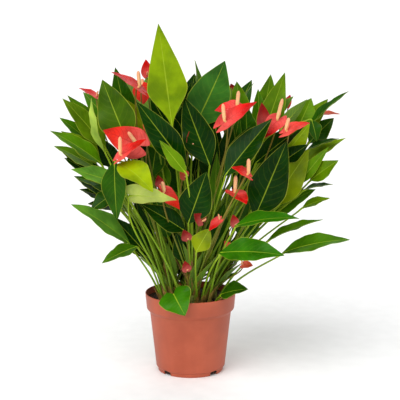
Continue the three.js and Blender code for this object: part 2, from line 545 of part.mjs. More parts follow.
// A small young bloom: a spathe, and its stalk, which runs on through it as a short spadix.
function budPieces(root, [seat, tip, face, width], index) {
  const spine = spineOf(vec(seat), vec(tip), vec(face), BUD_DROOP);
  const foot = vec(seat).addScaledVector(spine.normal, -BUD_NECK);
  const arch = archOf(crownPoint(root, index), foot, spine.normal);
  const lean = spine.normal.clone().addScaledVector(UP, BUD_LIFT).normalize();
  const base = onSpine(spine, SEAT, 0, BLADE_THICKNESS);
  const end = base.clone().addScaledVector(lean, width * BUD_SPADIX);
  const thin = stalkRadii(arch.length).map((radius) => radius * BUD_STALK);
  return [
    bladeGeometry(spine, SHAPES.bud, width, 0, 0),
    tubeGeometry([...arch, base, end], [...thin, BUD_SPADIX_RADIUS, BUD_TIP_RADIUS], STALK_SIDES),
  ];
}

function crownGeometry([name, root, blades, buds]) {
  const foot = vec([...root, footLevel]);
  const shoulder = vec([...root, SOIL_LEVEL + CROWN_HEIGHT * CROWN_SHOULDER]);
  const top = vec([...root, SOIL_LEVEL + CROWN_HEIGHT]);
  const radii = [CROWN_RADIUS, CROWN_RADIUS, CROWN_TOP];
  const pieces = [tubeGeometry([foot, shoulder, top], radii, CROWN_SIDES)];
  blades.forEach(([start, tip, face, width, droop, shapeName], i) => {
    pieces.push(...leafPieces([crownPoint(root, i)], start, tip, face, width, droop, shapeName, i));
  });
  buds.forEach((bud, i) => pieces.push(...budPieces(root, bud, i)));
  BLOOMS.filter(([crown]) => crown === name).forEach((bloom, i) => {
    const spine = bloomSpine(bloom);
    const below = BLADE_THICKNESS / 2 + GAP;
    const end = onSpine(spine, SEAT, 0, -below);
    const before = onSpine(spine, SEAT, 0, -below - SPATHE_NECK);
    const arch = archOf(crownPoint(root, i), before, spine.normal);
    pieces.push(tubeGeometry([...arch, end], [...stalkRadii(arch.length), STALK_TOP], STALK_SIDES));
  });
  return joined(pieces);
}

function spadixGeometry(bloom) {
  const [, , , , , lean, length] = bloom;
  const spine = bloomSpine(bloom);
  const above = BLADE_THICKNESS / 2 + SPADIX_RADIUS * Math.tan(rad(SHAPES.spathe.fold)) + GAP;
  const base = onSpine(spine, SEAT, 0, above);
  const neck = onSpine(spine, SEAT, 0, above + SPADIX_NECK);
  const way = vec(lean).normalize();
  const spike = SPADIX_SHARES.map((share) => neck.clone().addScaledVector(way, share * length));
  const radii = SPADIX_RADII.map((share) => share * SPADIX_RADIUS);
  return tubeGeometry([base, neck, ...spike], radii, SPADIX_SIDES);
}

// ---- the plant ----

const plant = new THREE.Group();
plant.add(pieceOf("pot", potGeometry(), "pot"));
plant.add(pieceOf("soil", soilGeometry(), "soil"));
LEAVES.forEach((leaf, i) => plant.add(pieceOf(leaf[0], leafGeometry(leaf, i), leaf[8])));
CROWNS.forEach((crown) => plant.add(pieceOf(crown[0], crownGeometry(crown), "crown")));
BLOOMS.forEach((bloom, i) => {
  const width = bloom[4];
  const spathe = bladeGeometry(bloomSpine(bloom), SHAPES.spathe, width, width * SPATHE_WAVE, i);
  plant.add(pieceOf(`spathe_${i + 1}`, spathe, "spathe"));
  plant.add(pieceOf(`spadix_${i + 1}`, spadixGeometry(bloom), "spadix"));
});

export default plant;
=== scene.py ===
"""A potted anthurium: pot, soil, leafy crowns, single leaves and red blooms, dressed for a studio photo."""
import random
from math import cos, hypot, pi, radians, sin, sqrt, tan

import bpy
import numpy as np
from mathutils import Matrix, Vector, noise


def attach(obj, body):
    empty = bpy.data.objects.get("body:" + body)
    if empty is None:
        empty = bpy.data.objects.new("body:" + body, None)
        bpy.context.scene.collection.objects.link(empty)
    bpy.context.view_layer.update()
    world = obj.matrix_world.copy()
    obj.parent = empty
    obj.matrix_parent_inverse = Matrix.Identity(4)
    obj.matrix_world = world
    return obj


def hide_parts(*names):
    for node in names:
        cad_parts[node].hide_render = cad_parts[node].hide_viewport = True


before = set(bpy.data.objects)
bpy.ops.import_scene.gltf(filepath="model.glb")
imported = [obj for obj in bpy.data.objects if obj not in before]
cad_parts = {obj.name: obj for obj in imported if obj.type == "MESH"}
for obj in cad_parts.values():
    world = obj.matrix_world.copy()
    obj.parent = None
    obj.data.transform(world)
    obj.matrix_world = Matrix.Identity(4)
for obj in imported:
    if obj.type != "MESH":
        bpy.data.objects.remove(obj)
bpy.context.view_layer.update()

MM = 0.001
draw = random.Random(11)

# ---- sizes in millimetres, as the solids have them ----

POT_HEIGHT = 150
RIM_RADIUS = 85
RIM_BAND = 31
RIM_TAPER = 2.7
RIM_STEP = 6
BODY_TAPER = 11.5
FOOT_HEIGHT = 9
FOOT_STEP = 3.5
FOOT_EDGE = 1
FOOT_FLARE = 0.6
SHELF_RISE = 6.5
LIP_ROUND = 0.8
WALL = 1.6
FLOOR = 2.2
DRAINS = 4
DRAIN_WIDTH = 17
DRAIN_HEIGHT = 9.5
DRAIN_REACH = 12
DRAIN_TURN = 45
SOIL_LEVEL = 138
HOLE_DEPTH = 12
GAP = 0.3

BLADE_THICKNESS = 1.2
WAVES = 2.1
LEAF_WAVE = 0.035
SPATHE_WAVE = 0.02
WAVE_TURN = 1.3
WAVE_SPLIT = 2
LOBE_ROUND = 0.75
STALK_TOP = 1.6
STALK_FLARE = 0.9
STALK_STRAIGHT = 3
STALK_SEAT = 0.7
STALK_SPREAD = 0.55
STALK_RISE = 0.38
STALK_FALL = 0.3
STALK_TURN = 0.45
CROWN_RADIUS = 7
CROWN_HEIGHT = 20
CROWN_TIERS = 5
CROWN_LOWEST = 0.2
CROWN_HIGHEST = 0.8
BUD_NECK = 5
BUD_DROOP = 14
BUD_SPADIX = 0.55  # length of a young spadix, as a share of its spathe's width
BUD_SPADIX_RADIUS = 0.07
BUD_STALK = 0.75
PEDUNCLE_SLIM = 0.85
SPADIX_RADIUS = 3.5
SPATHE_DROOP = 16
SPATHE_NECK = 5
SEAT = 0.1

# outline of a blade: width at its base, where it is widest, how it swells and narrows, its lobes, its fold
SHAPES = {
    "tall": dict(base=0.07, widest=0.37, rise=1.6, fall=1.2, lobe=0.02, fold=10),
    "leaf": dict(base=0.08, widest=0.38, rise=1, fall=1.5, lobe=0.05, fold=13),
    "narrow": dict(base=0.08, widest=0.37, rise=1, fall=1.4, lobe=0.04, fold=16),
    "strap": dict(base=0.35, widest=0.5, rise=1, fall=1.7, lobe=0, fold=20),
    "heart": dict(base=0.5, widest=0.26, rise=0.8, fall=1.5, lobe=0.22, fold=8),
    "hood": dict(base=0.8, widest=0.2, rise=1, fall=1.3, lobe=0.1, fold=14),
    "spathe": dict(base=0.5, widest=0.27, rise=0.8, fall=1.5, lobe=0.24, fold=8),
    "bud": dict(base=0.5, widest=0.33, rise=0.9, fall=1.6, lobe=0.14, fold=18),
    "sheath": dict(base=0.9, widest=0.5, rise=1, fall=1.6, lobe=0, fold=42),
}

# ---- finer detail than the solids have ----

LEAF_GRID = (56, 18)  # rows along a blade and columns across it
STRAP_GRID = (32, 10)
SPATHE_GRID = (44, 24)
BUD_GRID = (26, 16)
SHEATH_GRID = (14, 8)
SKIN = 0.8  # thickness of a finished blade
EDGE_SHARE = 0.55  # thickness at the margin, as a share of the skin
CREASE = 2.2  # how round the fold along the midrib is
VEINS = 10  # side veins on each half of a blade
VEIN_SWEEP = 0.24  # how far towards the tip a side vein runs on its way to the margin
VEIN_CURVE = 1.3
VEIN_SPLIT = 0.4  # how much the veins of the left half are shifted, in veins
RELIEF = 0.28  # how far a blade puckers between its side veins
SPATHE_RELIEF = 0.45
END_ROWS = 0.06  # how much closer the rows lie at a blade's ends
MID_COLUMNS = 1.25  # how much closer the columns lie at its midrib
FRILLS = 5.3  # fine waves of the margin along a blade
FRILL_SHARE = 0.3
SHARP = 50  # edges that fold more than this, in degrees, stay crisp

TUBE_SIDES = 10
ARCH_STEPS = 26
TURN_BACK = 0.5  # how much more a stalk turns where it has to lean back
TURN_LIMIT = 0.3
STALK_ROUGH = 0.38
LOW_SHARE = 0.18  # share of a stalk over which the colour of its foot runs out
KNEE = 12  # length over which a stalk bends into its blade
KNEE_PULL = 0.45
KNEE_STEPS = 7
KNEE_SWELL = 0.35
PEDUNCLE_TOP = 1.15  # how much a bloom's stalk widens under the spathe
RIB_STEPS = 14
RIB_START = 1.05  # radius of the midrib
RIB_TIP = 0.25
RIB_FADE = 0.8
RIB_REACH = 0.95
RIB_PROUD = 0.12  # how far the midrib stands out of a blade's upper face
STRAP_WIDTH = 27
STRAP_LEAN = 8
STRAP_DROOP = 14
STRAP_WAVE = 0.5
STRAP_TONES = ["deep", "dark", "mid"]
BUD_WAVE = 0.8
SHEATH_WIDTH = 9
SHEATH_OUT = 1.6  # how far a sheath stands off its stalk at its base
SHEATH_SPLAY = 0.12  # how much farther at its tip, as a share of its length
SHEATH_DROOP = 10
SHEATH_WAVE = 1.2
SHEATH_RELIEF = 0.1
SHEATH_ROUGH = 0.6
SHEATH_START = 0.03  # share of a stalk at which its sheath begins
SHEATH_LENGTHS = (24, 42)
CROWN_SHEATHS = (26, 58)
CROWN_SHEATH_STARTS = (0, 0.16)
STEM_RINGS = 24
STEM_SIDES = 20
STEM_ROUGH = 0.7
STEM_KNOBS = 4.5
STEM_TAPER = 0.45
STEM_SWAY = 0.4
SPADIX_AROUND = 30
SPADIX_ROWS = 52
SPADIX_SHOULDER = 0.72  # where a spadix begins to round off; also how thick its base is
SPADIX_FOOT = 0.62  # radius of the neck under a spadix, as a share of its own
SPADIX_NECK = 4
SPADIX_ROUGH = 0.5
FLORETS = 9
FLORET_TURNS = 7

POT_SEGMENTS = 144
FOOT_RECESS = 6  # how far in from the foot's outside the underside is fully raised
FOOT_HOLLOW = 0.8  # how much it is raised
OUTER_ROUND = 1.6
INNER_ROUND = 1.4
CORNER_STEPS = 4
DRAIN_STEPS = 12
CUT_BELOW = 4  # how far below the pot a drain hole is cut
DRAIN_SPRING = 0.45  # height at which a drain hole's arch begins, as a share of its own
SOIL_RINGS = 44
SOIL_SEGMENTS = 120
SOIL_RISE = 0.5
SOIL_SETTLE = 6.4  # how steeply the soil settles towards the wall
SETTLE_START = 0.75  # share of the rim's radius from which on it does
SOIL_BUMPS = [(1.4, 0.03), (1.3, 0.13), (0.9, 0.4)]  # heights and closeness of waves, lumps and grains
SOIL_ROUGH = 0.9
CRUMBS = 900
CRUMB_SIDES = 6
CRUMB_MARGIN = 3  # how far they keep from the wall
CRUMB_SIZES = [0.7, 0.9, 1.2, 1.2, 1.7, 2.3]
CRUMB_OUTLINE = [(0, -1), (0.75, -0.6), (1, 0.1), (0.6, 0.8), (0, 1)]
CRUMB_COLOURS = ["2E1E16", "3A281C", "241811", "4A3424", "5C452F", "1C130E", "8A7A66"]

INNER_LEAVES = 24
INNER_TRIES = 6000
INNER_HEIGHTS = (165, 460)
INNER_SPREAD = (60, 170)
INNER_FRONT = 5
INNER_LENGTHS = (45, 115)
INNER_WIDTHS = (0.32, 0.45)  # as a share of their length
INNER_DROOPS = (8, 22)
INNER_TONES = ["dark", "dark", "deep", "deep", "mid"]
INNER_FREE = 90  # height above the soil from which their stalks keep clear of others
CELL = 3.5  # size of the cells in which it is noted where blades and stalks run

CAMERA_PLACE = (0.0179, -2.6, 0.822)
CAMERA_PITCH = 10.81
CAMERA_LENS = 128.2
WORLD_LIGHT = 0.3
LIGHTS = [("key", (-0.6, -1.0, 1.2), 2.9), ("fill", (1.3, -0.9, 0.7), 0.6), ("back", (0.2, 1.0, 1.2), 1.0)]
LIGHT_SPREAD = 60
FLOOR_RADIUS = 25000
FLOOR_DEPTH = 20
FLOOR_SIDES = 96

# colours as seen in the photograph, with how rough each surface is
TONES = {
    "lime": ("8EA404", 0.4),
    "young": ("758C04", 0.38),
    "pale": ("A0B84E", 0.45),
    "milky": ("BACC74", 0.45),
    "fresh": ("557A04", 0.36),
    "bright": ("2C6604", 0.3),
    "mid": ("3F6C04", 0.32),
    "olive": ("3A5A04", 0.34),
    "deep": ("224C04", 0.28),
    "dark": ("0C3002", 0.26),
    "blue": ("346820", 0.3),
    "grey": ("568A2E", 0.34),
    "red": ("D00C08", 0.26),
    "coral": ("D8281A", 0.3),
    "blood": ("84100A", 0.34),
    "peach": ("CC4E2C", 0.36),
}
UNDERSIDE = "86A844"
VEIN = "A6BC2C"
MARGIN = "B4BA3A"
# pale pink of the painted sheen on the spathes' faces
PAINTED_SHEEN = "F08078"
STALK = {"foot": "6E7A24", "low": "688A12", "top": "92AE1C"}
PEDUNCLE = {"foot": "5E6A1C", "low": "6C8020", "top": "86702A"}
SHEATH = {"foot": "8C8A3A", "low": "8A6A26", "top": "6A4A1E"}
SPADIX = {"foot": "F0C884", "low": "F2C48A", "top": "F0A67C"}
STEM = {"foot": "5A4A2A", "top": "7C8A3C"}
SOIL = "2E1E16"

# ---- where everything grows, as the solids have it, with the colour of each blade ----

# Single leaves: name, root, blade's start and tip, way its upper face looks, width, droop, shape, tone.
LEAVES = [
    ["tall", [-7, -14], [-33, -45, 474], [-57, -30, 654], [0.1, -1, 0.1], 74, 6, "tall", "young"],
    ["left_1", [-23, -22], [-114, -55, 444], [-159, -29, 553], [-0.2, -1, 0.2], 70, 10, "leaf", "olive"],
    ["left_2", [-36, -18], [-158, -25, 423], [-179, -35, 520], [-1, -0.45, 0.3], 46, 12, "narrow", "pale"],
    ["left_3", [-25, 20], [-160, 15, 425], [-236, 18, 513], [0.3, -0.8, 0.6], 48, 12, "narrow", "fresh"],
    ["left_4", [-48, -10], [-165, -29, 401], [-255, -32, 460], [0.1, -0.5, 1], 46, 15, "narrow", "mid"],
    ["left_5", [-42, -28], [-133, -53, 367], [-215, -62, 394], [0, -0.6, 1], 48, 4, "narrow", "grey"],
    ["left_6", [-31, -36], [-134, -106, 411], [-130, -106, 308], [-0.3, -1, 0.15], 48, 14, "narrow", "deep"],
    ["left_7", [-54, -22], [-116, -35, 254], [-216, -69, 331], [0.25, -0.5, 1], 58, 18, "leaf", "grey"],
    ["left_8", [-50, -36], [-99, -60, 250], [-160, -90, 226], [-0.1, -0.5, 1], 38, 15, "narrow", "mid"],
    ["front_1", [-15, -45], [-124, -108, 411], [-64, -152, 368], [0.1, -0.5, 0.9], 58, 35, "narrow", "lime"],
    ["front_2", [-40, -48], [-106, -107, 354], [-23, -139, 352], [0, 0.85, 0.5], 46, 15, "hood", "milky"],
    ["front_3", [12, -50], [12, -99, 251], [36, -87, 290], [-0.2, -1, 0.5], 38, 15, "leaf", "young"],
    ["front_4", [20, -46], [57, -120, 253], [166, -165, 258], [0.1, -0.7, 1], 62, 20, "leaf", "bright"],
    ["front_5", [-24, -60], [-30, -75, 164], [-9, -112, 134], [-0.1, -1, 0.45], 64, 25, "heart", "bright"],
    ["front_6", [46, -46], [58, -65, 162], [105, -95, 179], [0, -0.7, 1], 44, 20, "narrow", "deep"],
    ["right_1", [24, -30], [120, -60, 311], [174, -70, 447], [0.1, -1, 0.3], 72, 10, "leaf", "dark"],
    ["right_2", [36, -15], [150, -24, 322], [219, -1, 421], [0.2, -1, 0.5], 60, 10, "leaf", "young"],
    ["right_3", [13, -26], [66, -81, 390], [147, -67, 487], [-0.4, -1, 0.6], 54, 10, "leaf", "dark"],
    ["right_4", [29, -14], [124, -5, 399], [211, -35, 473], [-0.4, -0.9, 0.7], 46, 10, "narrow", "dark"],
    ["right_5", [24, 10], [131, 22, 432], [176, 45, 559], [0.2, -1, 0.2], 50, 8, "narrow", "fresh"],
    ["right_6", [43, 20], [223, 43, 459], [295, 43, 524], [-0.5, -0.2, 1], 40, 12, "narrow", "deep"],
    ["right_7", [34, -40], [84, -100, 298], [195, -120, 315], [0, -0.35, 1], 48, 25, "narrow", "bright"],
    ["right_8", [53, -18], [143, -36, 256], [242, -60, 301], [-0.2, -0.15, 1], 46, 15, "narrow", "mid"],
    ["right_9", [50, -32], [173, -75, 244], [287, -105, 273], [-0.1, -0.45, 1], 52, 22, "leaf", "mid"],
    ["back_1", [-22, 26], [-72, 99, 328], [-98, 188, 392], [-0.1, -0.3, 1], 60, 25, "leaf", "mid"],
    ["back_2", [10, 30], [48, 104, 345], [66, 205, 400], [0.1, -0.3, 1], 60, 25, "leaf", "deep"],
    ["back_3", [-40, 26], [-115, 75, 285], [-195, 130, 322], [-0.2, 0.1, 1], 54, 22, "narrow", "mid"],
    ["back_4", [40, 30], [118, 80, 275], [196, 140, 308], [0.2, 0.1, 1], 54, 22, "narrow", "dark"],
    ["back_5", [-4, 44], [-8, 118, 262], [-12, 222, 258], [0, 0.2, 1], 56, 40, "leaf", "fresh"],
    ["back_6", [-28, 44], [-62, 100, 215], [-100, 178, 196], [-0.2, 0.3, 1], 46, 30, "narrow", "deep"],
]

# Crowns: name, root, blades with columns as above from the start on, buds (seat, tip, face, width, tone).
CROWNS = [
    ["left", [-36, -2], [
        [[-116, 25, 457], [-139, 35, 569], [0.2, -1, 0.1], 48, 8, "narrow", "deep"],
        [[-60, -5, 426], [-122, 5, 515], [-0.2, -1, 0.4], 46, 10, "narrow", "young"],
        [[-174, 50, 374], [-258, 60, 418], [0.1, -0.5, 1], 44, 15, "narrow", "fresh"],
        [[-139, 10, 341], [-213, 10, 366], [0, -0.5, 1], 48, 20, "narrow", "deep"],
        [[-83, 10, 228], [-102, 15, 323], [-0.3, -1, 0.3], 50, 10, "narrow", "dark"],
        [[-71, 0, 371], [-60, 10, 444], [-0.2, -1, 0.3], 44, 10, "narrow", "deep"],
        [[-93, -10, 335], [-115, -5, 405], [-0.3, -1, 0.3], 44, 10, "narrow", "dark"],
        [[-176, 32, 419], [-244, 36, 475], [0.2, -0.7, 0.8], 38, 12, "narrow", "mid"],
        [[-169, 2, 398], [-238, -1, 455], [0.2, -0.8, 0.7], 42, 12, "narrow", "fresh"],
        [[-166, 55, 434], [-230, 52, 515], [0.3, -0.8, 0.6], 38, 10, "narrow", "mid"],
        [[-141, 26, 314], [-208, 26, 341], [0, -0.5, 1], 42, 18, "narrow", "dark"],
        [[-143, -20, 340], [-184, -26, 310], [-0.4, -0.8, 0.5], 36, 15, "narrow", "deep"],
        [[-77, -8, 219], [-146, -6, 296], [0.1, -0.9, 0.5], 44, 14, "narrow", "dark"],
    ], [
        [[-80, 30, 553], [-82, 32, 584], [0.1, -1, 0.2], 22, "red"],
        [[-172, 34, 512], [-207, 38, 530], [0.5, -0.4, 1], 22, "red"],
        [[-163, 22, 416], [-170, 20, 434], [-0.1, -1, 0.4], 18, "blood"],
        [[-72, -49, 443], [-85, -55, 479], [0.6, -0.8, 0.3], 20, "peach"],
    ]],
    ["middle", [0, 2], [
        [[10, 10, 466], [64, 25, 582], [0.35, -1, 0.1], 84, 8, "leaf", "blue"],
        [[34, -45, 403], [-11, -30, 521], [-0.3, -1, 0.3], 60, 8, "leaf", "dark"],
        [[-23, 10, 414], [-12, 25, 502], [-0.1, -1, 0.2], 48, 8, "narrow", "dark"],
        [[40, 3, 226], [63, 4, 319], [0.1, -1, 0.4], 50, 10, "narrow", "deep"],
        [[27, 40, 337], [44, 50, 412], [0.1, -1, 0.4], 50, 10, "narrow", "dark"],
        [[44, -22, 310], [49, -20, 420], [0.1, -1, 0.1], 26, 6, "narrow", "mid"],
        [[-20, -12, 424], [-74, -6, 524], [-0.2, -1, 0.3], 46, 8, "narrow", "dark"],
        [[-8, 24, 330], [-36, 30, 420], [-0.2, -1, 0.3], 50, 10, "narrow", "deep"],
    ], [
        [[2, -34, 432], [-2, -40, 460], [0.3, -1, 0.4], 20, "blood"],
        [[25, 62, 526], [40, 64, 546], [-0.5, -0.8, 0.4], 22, "blood"],
        [[83, 116, 511], [77, 118, 530], [-0.2, -0.8, 0.4], 18, "blood"],
    ]],
    ["front", [4, -36], [
        [[-11, -56, 403], [-97, -49, 516], [-0.2, -1, 0.4], 52, 8, "leaf", "dark"],
        [[-9, -92, 394], [-55, -80, 450], [-0.2, -1, 0.5], 26, 10, "narrow", "fresh"],
        [[-2, -75, 301], [30, -85, 394], [0, -1, 0.2], 62, 12, "leaf", "dark"],
        [[-42, -7, 258], [-69, -17, 347], [-0.2, -1, 0.4], 50, 10, "narrow", "deep"],
        [[-8, -40, 217], [-26, -45, 274], [-0.2, -1, 0.4], 36, 10, "narrow", "dark"],
        [[-12, -63, 282], [-90, -75, 333], [0, -0.9, 0.6], 44, 14, "narrow", "dark"],
    ], [
        [[23, -78, 300], [7, -88, 317], [-0.4, -0.8, 0.7], 24, "blood"],
        [[56, -84, 307], [34, -94, 287], [-0.4, -0.6, 0.8], 22, "red"],
        [[-4, -80, 268], [-12, -88, 288], [-0.2, -0.8, 0.5], 20, "blood"],
        [[-53, -62, 363], [-58, -66, 384], [-0.2, -0.9, 0.4], 18, "blood"],
        [[-9, -66, 379], [-18, -72, 397], [0.1, -0.8, 0.6], 20, "peach"],
        [[-6, -66, 206], [-10, -70, 226], [0.1, -0.9, 0.4], 18, "blood"],
    ]],
    ["right", [44, 4], [
        [[173, 5, 408], [221, 15, 466], [0.2, -1, 0.4], 44, 10, "narrow", "young"],
        [[202, 60, 452], [228, 75, 507], [0.2, -1, 0.4], 50, 8, "narrow", "fresh"],
        [[205, 30, 383], [290, 34, 437], [-0.3, -0.5, 1], 40, 15, "narrow", "young"],
        [[224, 0, 364], [273, -10, 402], [-0.2, -0.8, 0.7], 40, 10, "narrow", "fresh"],
        [[199, -4, 356], [256, 4, 425], [-0.1, -0.9, 0.5], 26, 8, "narrow", "fresh"],
        [[145, 10, 297], [234, 16, 343], [-0.3, -0.8, 0.7], 46, 12, "narrow", "mid"],
        [[98, 0, 253], [115, 5, 332], [0.1, -1, 0.4], 50, 10, "narrow", "deep"],
        [[79, 10, 377], [111, 20, 461], [0, -1, 0.4], 52, 10, "narrow", "dark"],
        [[134, 30, 339], [168, 40, 413], [0.1, -1, 0.4], 46, 10, "narrow", "mid"],
        [[218, 70, 455], [260, 80, 505], [0.1, -0.9, 0.5], 32, 10, "narrow", "fresh"],
        [[226, 30, 470], [235, 20, 432], [0.3, -1, 0.2], 28, 15, "narrow", "deep"],
        [[219, 20, 418], [276, 20, 438], [-0.3, -0.2, 1], 30, 10, "narrow", "dark"],
        [[213, 0, 346], [264, -10, 357], [0, -0.15, 1], 28, 10, "narrow", "deep"],
        [[208, -25, 317], [256, -40, 337], [0, -0.5, 1], 28, 12, "narrow", "fresh"],
        [[129, 60, 456], [127, 70, 525], [0.2, -1, 0.2], 28, 8, "narrow", "mid"],
        [[173, -12, 401], [217, -9, 431], [0, -0.9, 0.6], 32, 10, "narrow", "dark"],
    ], [
        [[81, -72, 292], [77, -78, 314], [0.2, -0.9, 0.4], 18, "blood"],
        [[71, -68, 248], [62, -74, 264], [0.2, -0.8, 0.5], 16, "peach"],
        [[94, -78, 220], [114, -88, 221], [0.1, -0.7, 0.8], 20, "peach"],
        [[136, -4, 458], [131, -1, 508], [0.2, -1, 0.1], 28, "blood"],
        [[182, 70, 491], [188, 74, 514], [-0.4, -0.8, 0.3], 16, "red"],
        [[244, 88, 473], [284, 88, 475], [0, -0.2, 1], 24, "peach"],
    ]],
    ["back", [-6, 28], [
        [[18, 75, 461], [8, 95, 577], [1, -0.35, 0.1], 55, 12, "narrow", "mid"],
        [[136, 85, 464], [152, 95, 550], [0.3, -1, 0.1], 44, 8, "narrow", "fresh"],
        [[96, 95, 460], [88, 110, 535], [-0.2, -1, 0.2], 44, 8, "narrow", "fresh"],
        [[-60, 70, 440], [-85, 120, 545], [-0.3, 1, 0.3], 56, 12, "leaf", "mid"],
        [[30, 100, 420], [40, 150, 520], [0.1, 1, 0.4], 60, 12, "leaf", "deep"],
        [[96, 131, 488], [121, 117, 531], [0.1, -0.2, 1], 24, 10, "narrow", "mid"],
    ], []],
]

# Open blooms: crown, seat and tip of the spathe, face, width, lean and length of the spadix, tone.
BLOOMS = [
    ["left", [-97, -72, 441], [-155, -82, 468], [-0.15, -1, 0.4], 58, [-0.45, -0.45, 0.75], 32, "coral"],
    ["left", [-120, -109, 426], [-76, -110, 456], [-0.5, -0.3, 0.8], 44, [0, -0.15, 1], 32, "red"],
    ["left", [-95, -16, 536], [-143, -22, 566], [0.45, -0.3, 1], 40, [-0.1, 0.2, 1], 28, "red"],
    ["left", [-90, 29, 530], [-86, 18, 502], [0.1, 1, 0.3], 38, [0, 0.6, 0.8], 22, "coral"],
    ["middle", [64, -86, 483], [119, -82, 519], [-0.5, -0.55, 0.7], 44, [-0.1, 0, 1], 30, "red"],
    ["middle", [84, -52, 503], [44, -58, 500], [0, -0.45, 0.9], 46, [0.1, 0.1, 1], 28, "red"],
    ["right", [158, -44, 480], [129, -66, 449], [-0.45, -0.9, 0.4], 38, [0.25, 0, 1], 38, "red"],
    ["right", [174, -72, 464], [214, -82, 481], [0, -0.4, 1], 42, [0.25, 0, 1], 22, "coral"],
    ["front", [101, -118, 393], [73, -124, 408], [0.15, -0.3, 1], 42, [0, 0, 1], 26, "red"],
    ["front", [80, -76, 353], [101, -106, 338], [0.3, -0.35, 1], 42, [0.05, 0, 1], 28, "red"],
    ["front", [-48, -92, 356], [-18, -102, 328], [0.5, -0.6, 0.8], 42, [-0.2, 0, 1], 18, "coral"],
]

# The low leaves of each crown, each by its tip.
STRAPS = {
    "left": [
        [-62, -14, 262], [-70, 6, 236], [-44, -26, 250], [-131, -14, 254], [-92, 12, 282], [-30, 14, 290],
        [-66, 26, 232], [-84, -22, 226], [-97, -36, 227], [-83, 4, 206],
    ],
    "middle": [[6, -18, 268], [24, 14, 262], [-14, 26, 286], [12, 30, 300], [-22, -12, 240], [30, 40, 250]],
    "front": [[24, -58, 240], [-14, -52, 256], [44, -62, 226], [62, -52, 244]],
    "right": [
        [86, -20, 248], [70, 20, 272], [104, -10, 226], [106, 14, 282], [60, 2, 240], [90, 36, 240],
        [99, -30, 215], [89, 10, 186],
    ],
    "back": [
        [-24, 56, 270], [14, 52, 262], [-50, 42, 246], [-2, 64, 290], [40, 62, 256], [-40, 70, 232],
        [-34, 70, 310], [10, 74, 328], [48, 70, 302], [78, 62, 268], [-72, 60, 282],
    ],
}

# More leaves of each crown, deep inside the plant, with rows as for its other blades.
FILLERS = {
    "left": [
        [[-147, 20, 329], [-218, 26, 366], [0, -0.6, 1], 44, 14, "narrow", "deep"],
        [[-136, 24, 306], [-193, 28, 313], [-0.1, -0.5, 1], 42, 16, "narrow", "dark"],
        [[-179, 64, 367], [-251, 70, 416], [0.1, -0.8, 0.8], 44, 12, "narrow", "fresh"],
        [[-163, 40, 352], [-238, 50, 397], [0.1, -0.6, 0.9], 44, 12, "narrow", "dark"],
        [[-148, 16, 387], [-170, 20, 441], [0.1, -1, 0.4], 44, 10, "narrow", "dark"],
    ],
    "middle": [],
    "front": [],
    "right": [
        [[226, 70, 424], [272, 84, 468], [-0.1, -0.8, 0.6], 44, 12, "narrow", "deep"],
        [[107, 60, 428], [104, 64, 496], [-0.1, -1, 0.3], 42, 8, "narrow", "deep"],
    ],
    "back": [
        [[-43, 70, 332], [-53, 90, 400], [0, -0.9, 0.4], 44, 12, "narrow", "dark"],
    ],
}

# ---- vectors and colours ----

UP = np.array([0.0, 0.0, 1.0])


def vec(values):
    return np.array(values, dtype=float)


def unit(v):
    return v / np.linalg.norm(v)


def lerp(first, last, share):
    return first + (last - first) * share


def travelled(path):
    """How far along a path each of its points lies."""
    return np.concatenate([[0], np.cumsum(np.linalg.norm(np.diff(path, axis=0), axis=1))])


def ring_of(count):
    """Angles evenly round a circle."""
    return np.linspace(0, 2 * pi, count, endpoint=False)


def linear(colour):
    """A hex colour as linear red, green and blue."""
    channels = [int(colour[i:i + 2], 16) / 255 for i in (0, 2, 4)]
    return vec([c / 12.92 if c < 0.04045 else ((c + 0.055) / 1.055) ** 2.4 for c in channels])


def paint_of(colour, rough):
    return np.append(linear(colour), rough)


# ---- meshes and objects ----


class Batch:
    """Closed surfaces gathered into one mesh. Each point has a paint (linear colour and roughness)
    and a place (three numbers that the materials draw their patterns from)."""

    def __init__(self):
        self.points = []
        self.paints = []
        self.places = []
        self.faces = []
        self.looks = []
        self.count = 0

    def add(self, points, faces, paints=(1, 1, 1, 1), places=(0, 0, 0), looks=None):
        size = len(points)
        self.faces += [[corner + self.count for corner in face] for face in faces]
        self.looks += looks or [0] * len(faces)
        self.points.append(points)
        self.paints.append(np.broadcast_to(paints, (size, 4)))
        self.places.append(np.broadcast_to(places, (size, 3)))
        self.count += size

    def mesh(self, name, materials):
        mesh = bpy.data.meshes.new(name)
        mesh.from_pydata((np.concatenate(self.points) * MM).tolist(), [], self.faces)
        paint = mesh.attributes.new("paint", "FLOAT_COLOR", "POINT")
        paint.data.foreach_set("color", np.concatenate(self.paints).ravel())
        place = mesh.attributes.new("place", "FLOAT_VECTOR", "POINT")
        place.data.foreach_set("vector", np.concatenate(self.places).ravel())
        for material in materials:
            mesh.materials.append(material)
        mesh.polygons.foreach_set("material_index", self.looks)
        mesh.polygons.foreach_set("use_smooth", [True] * len(mesh.polygons))
        mesh.update()
        mesh.set_sharp_from_angle(angle=radians(SHARP))
        return mesh


def placed(name, data):
    """An object of the scene that holds `data`."""
    thing = bpy.data.objects.new(name, data)
    bpy.context.scene.collection.objects.link(thing)
    return thing


def make_piece(name, batch, materials, node):
    """An object that stands for a node of the solid model."""
    piece = placed(name, batch.mesh(name, materials))
    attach(piece, "root")
    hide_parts(node)
    return piece


def ring_faces(rings, sides, first=0):
    """Faces between rings of `sides` points each, counted from the point `first`."""
    faces = []
    for ring in range(rings - 1):
        for k in range(sides):
            a, b = first + ring * sides + k, first + ring * sides + (k + 1) % sides
            faces.append([a, b, b + sides, a + sides])
    return faces


def tube_faces(rings, sides):
    """The faces of a row of rings with both ends closed."""
    last = (rings - 1) * sides
    return ring_faces(rings, sides) + [list(range(sides))[::-1], list(range(last, last + sides))]


# ---- where blades and stalks already run ----

taken = set()


def cells_of(points):
    return set(map(tuple, np.floor(points / CELL).astype(int).tolist()))


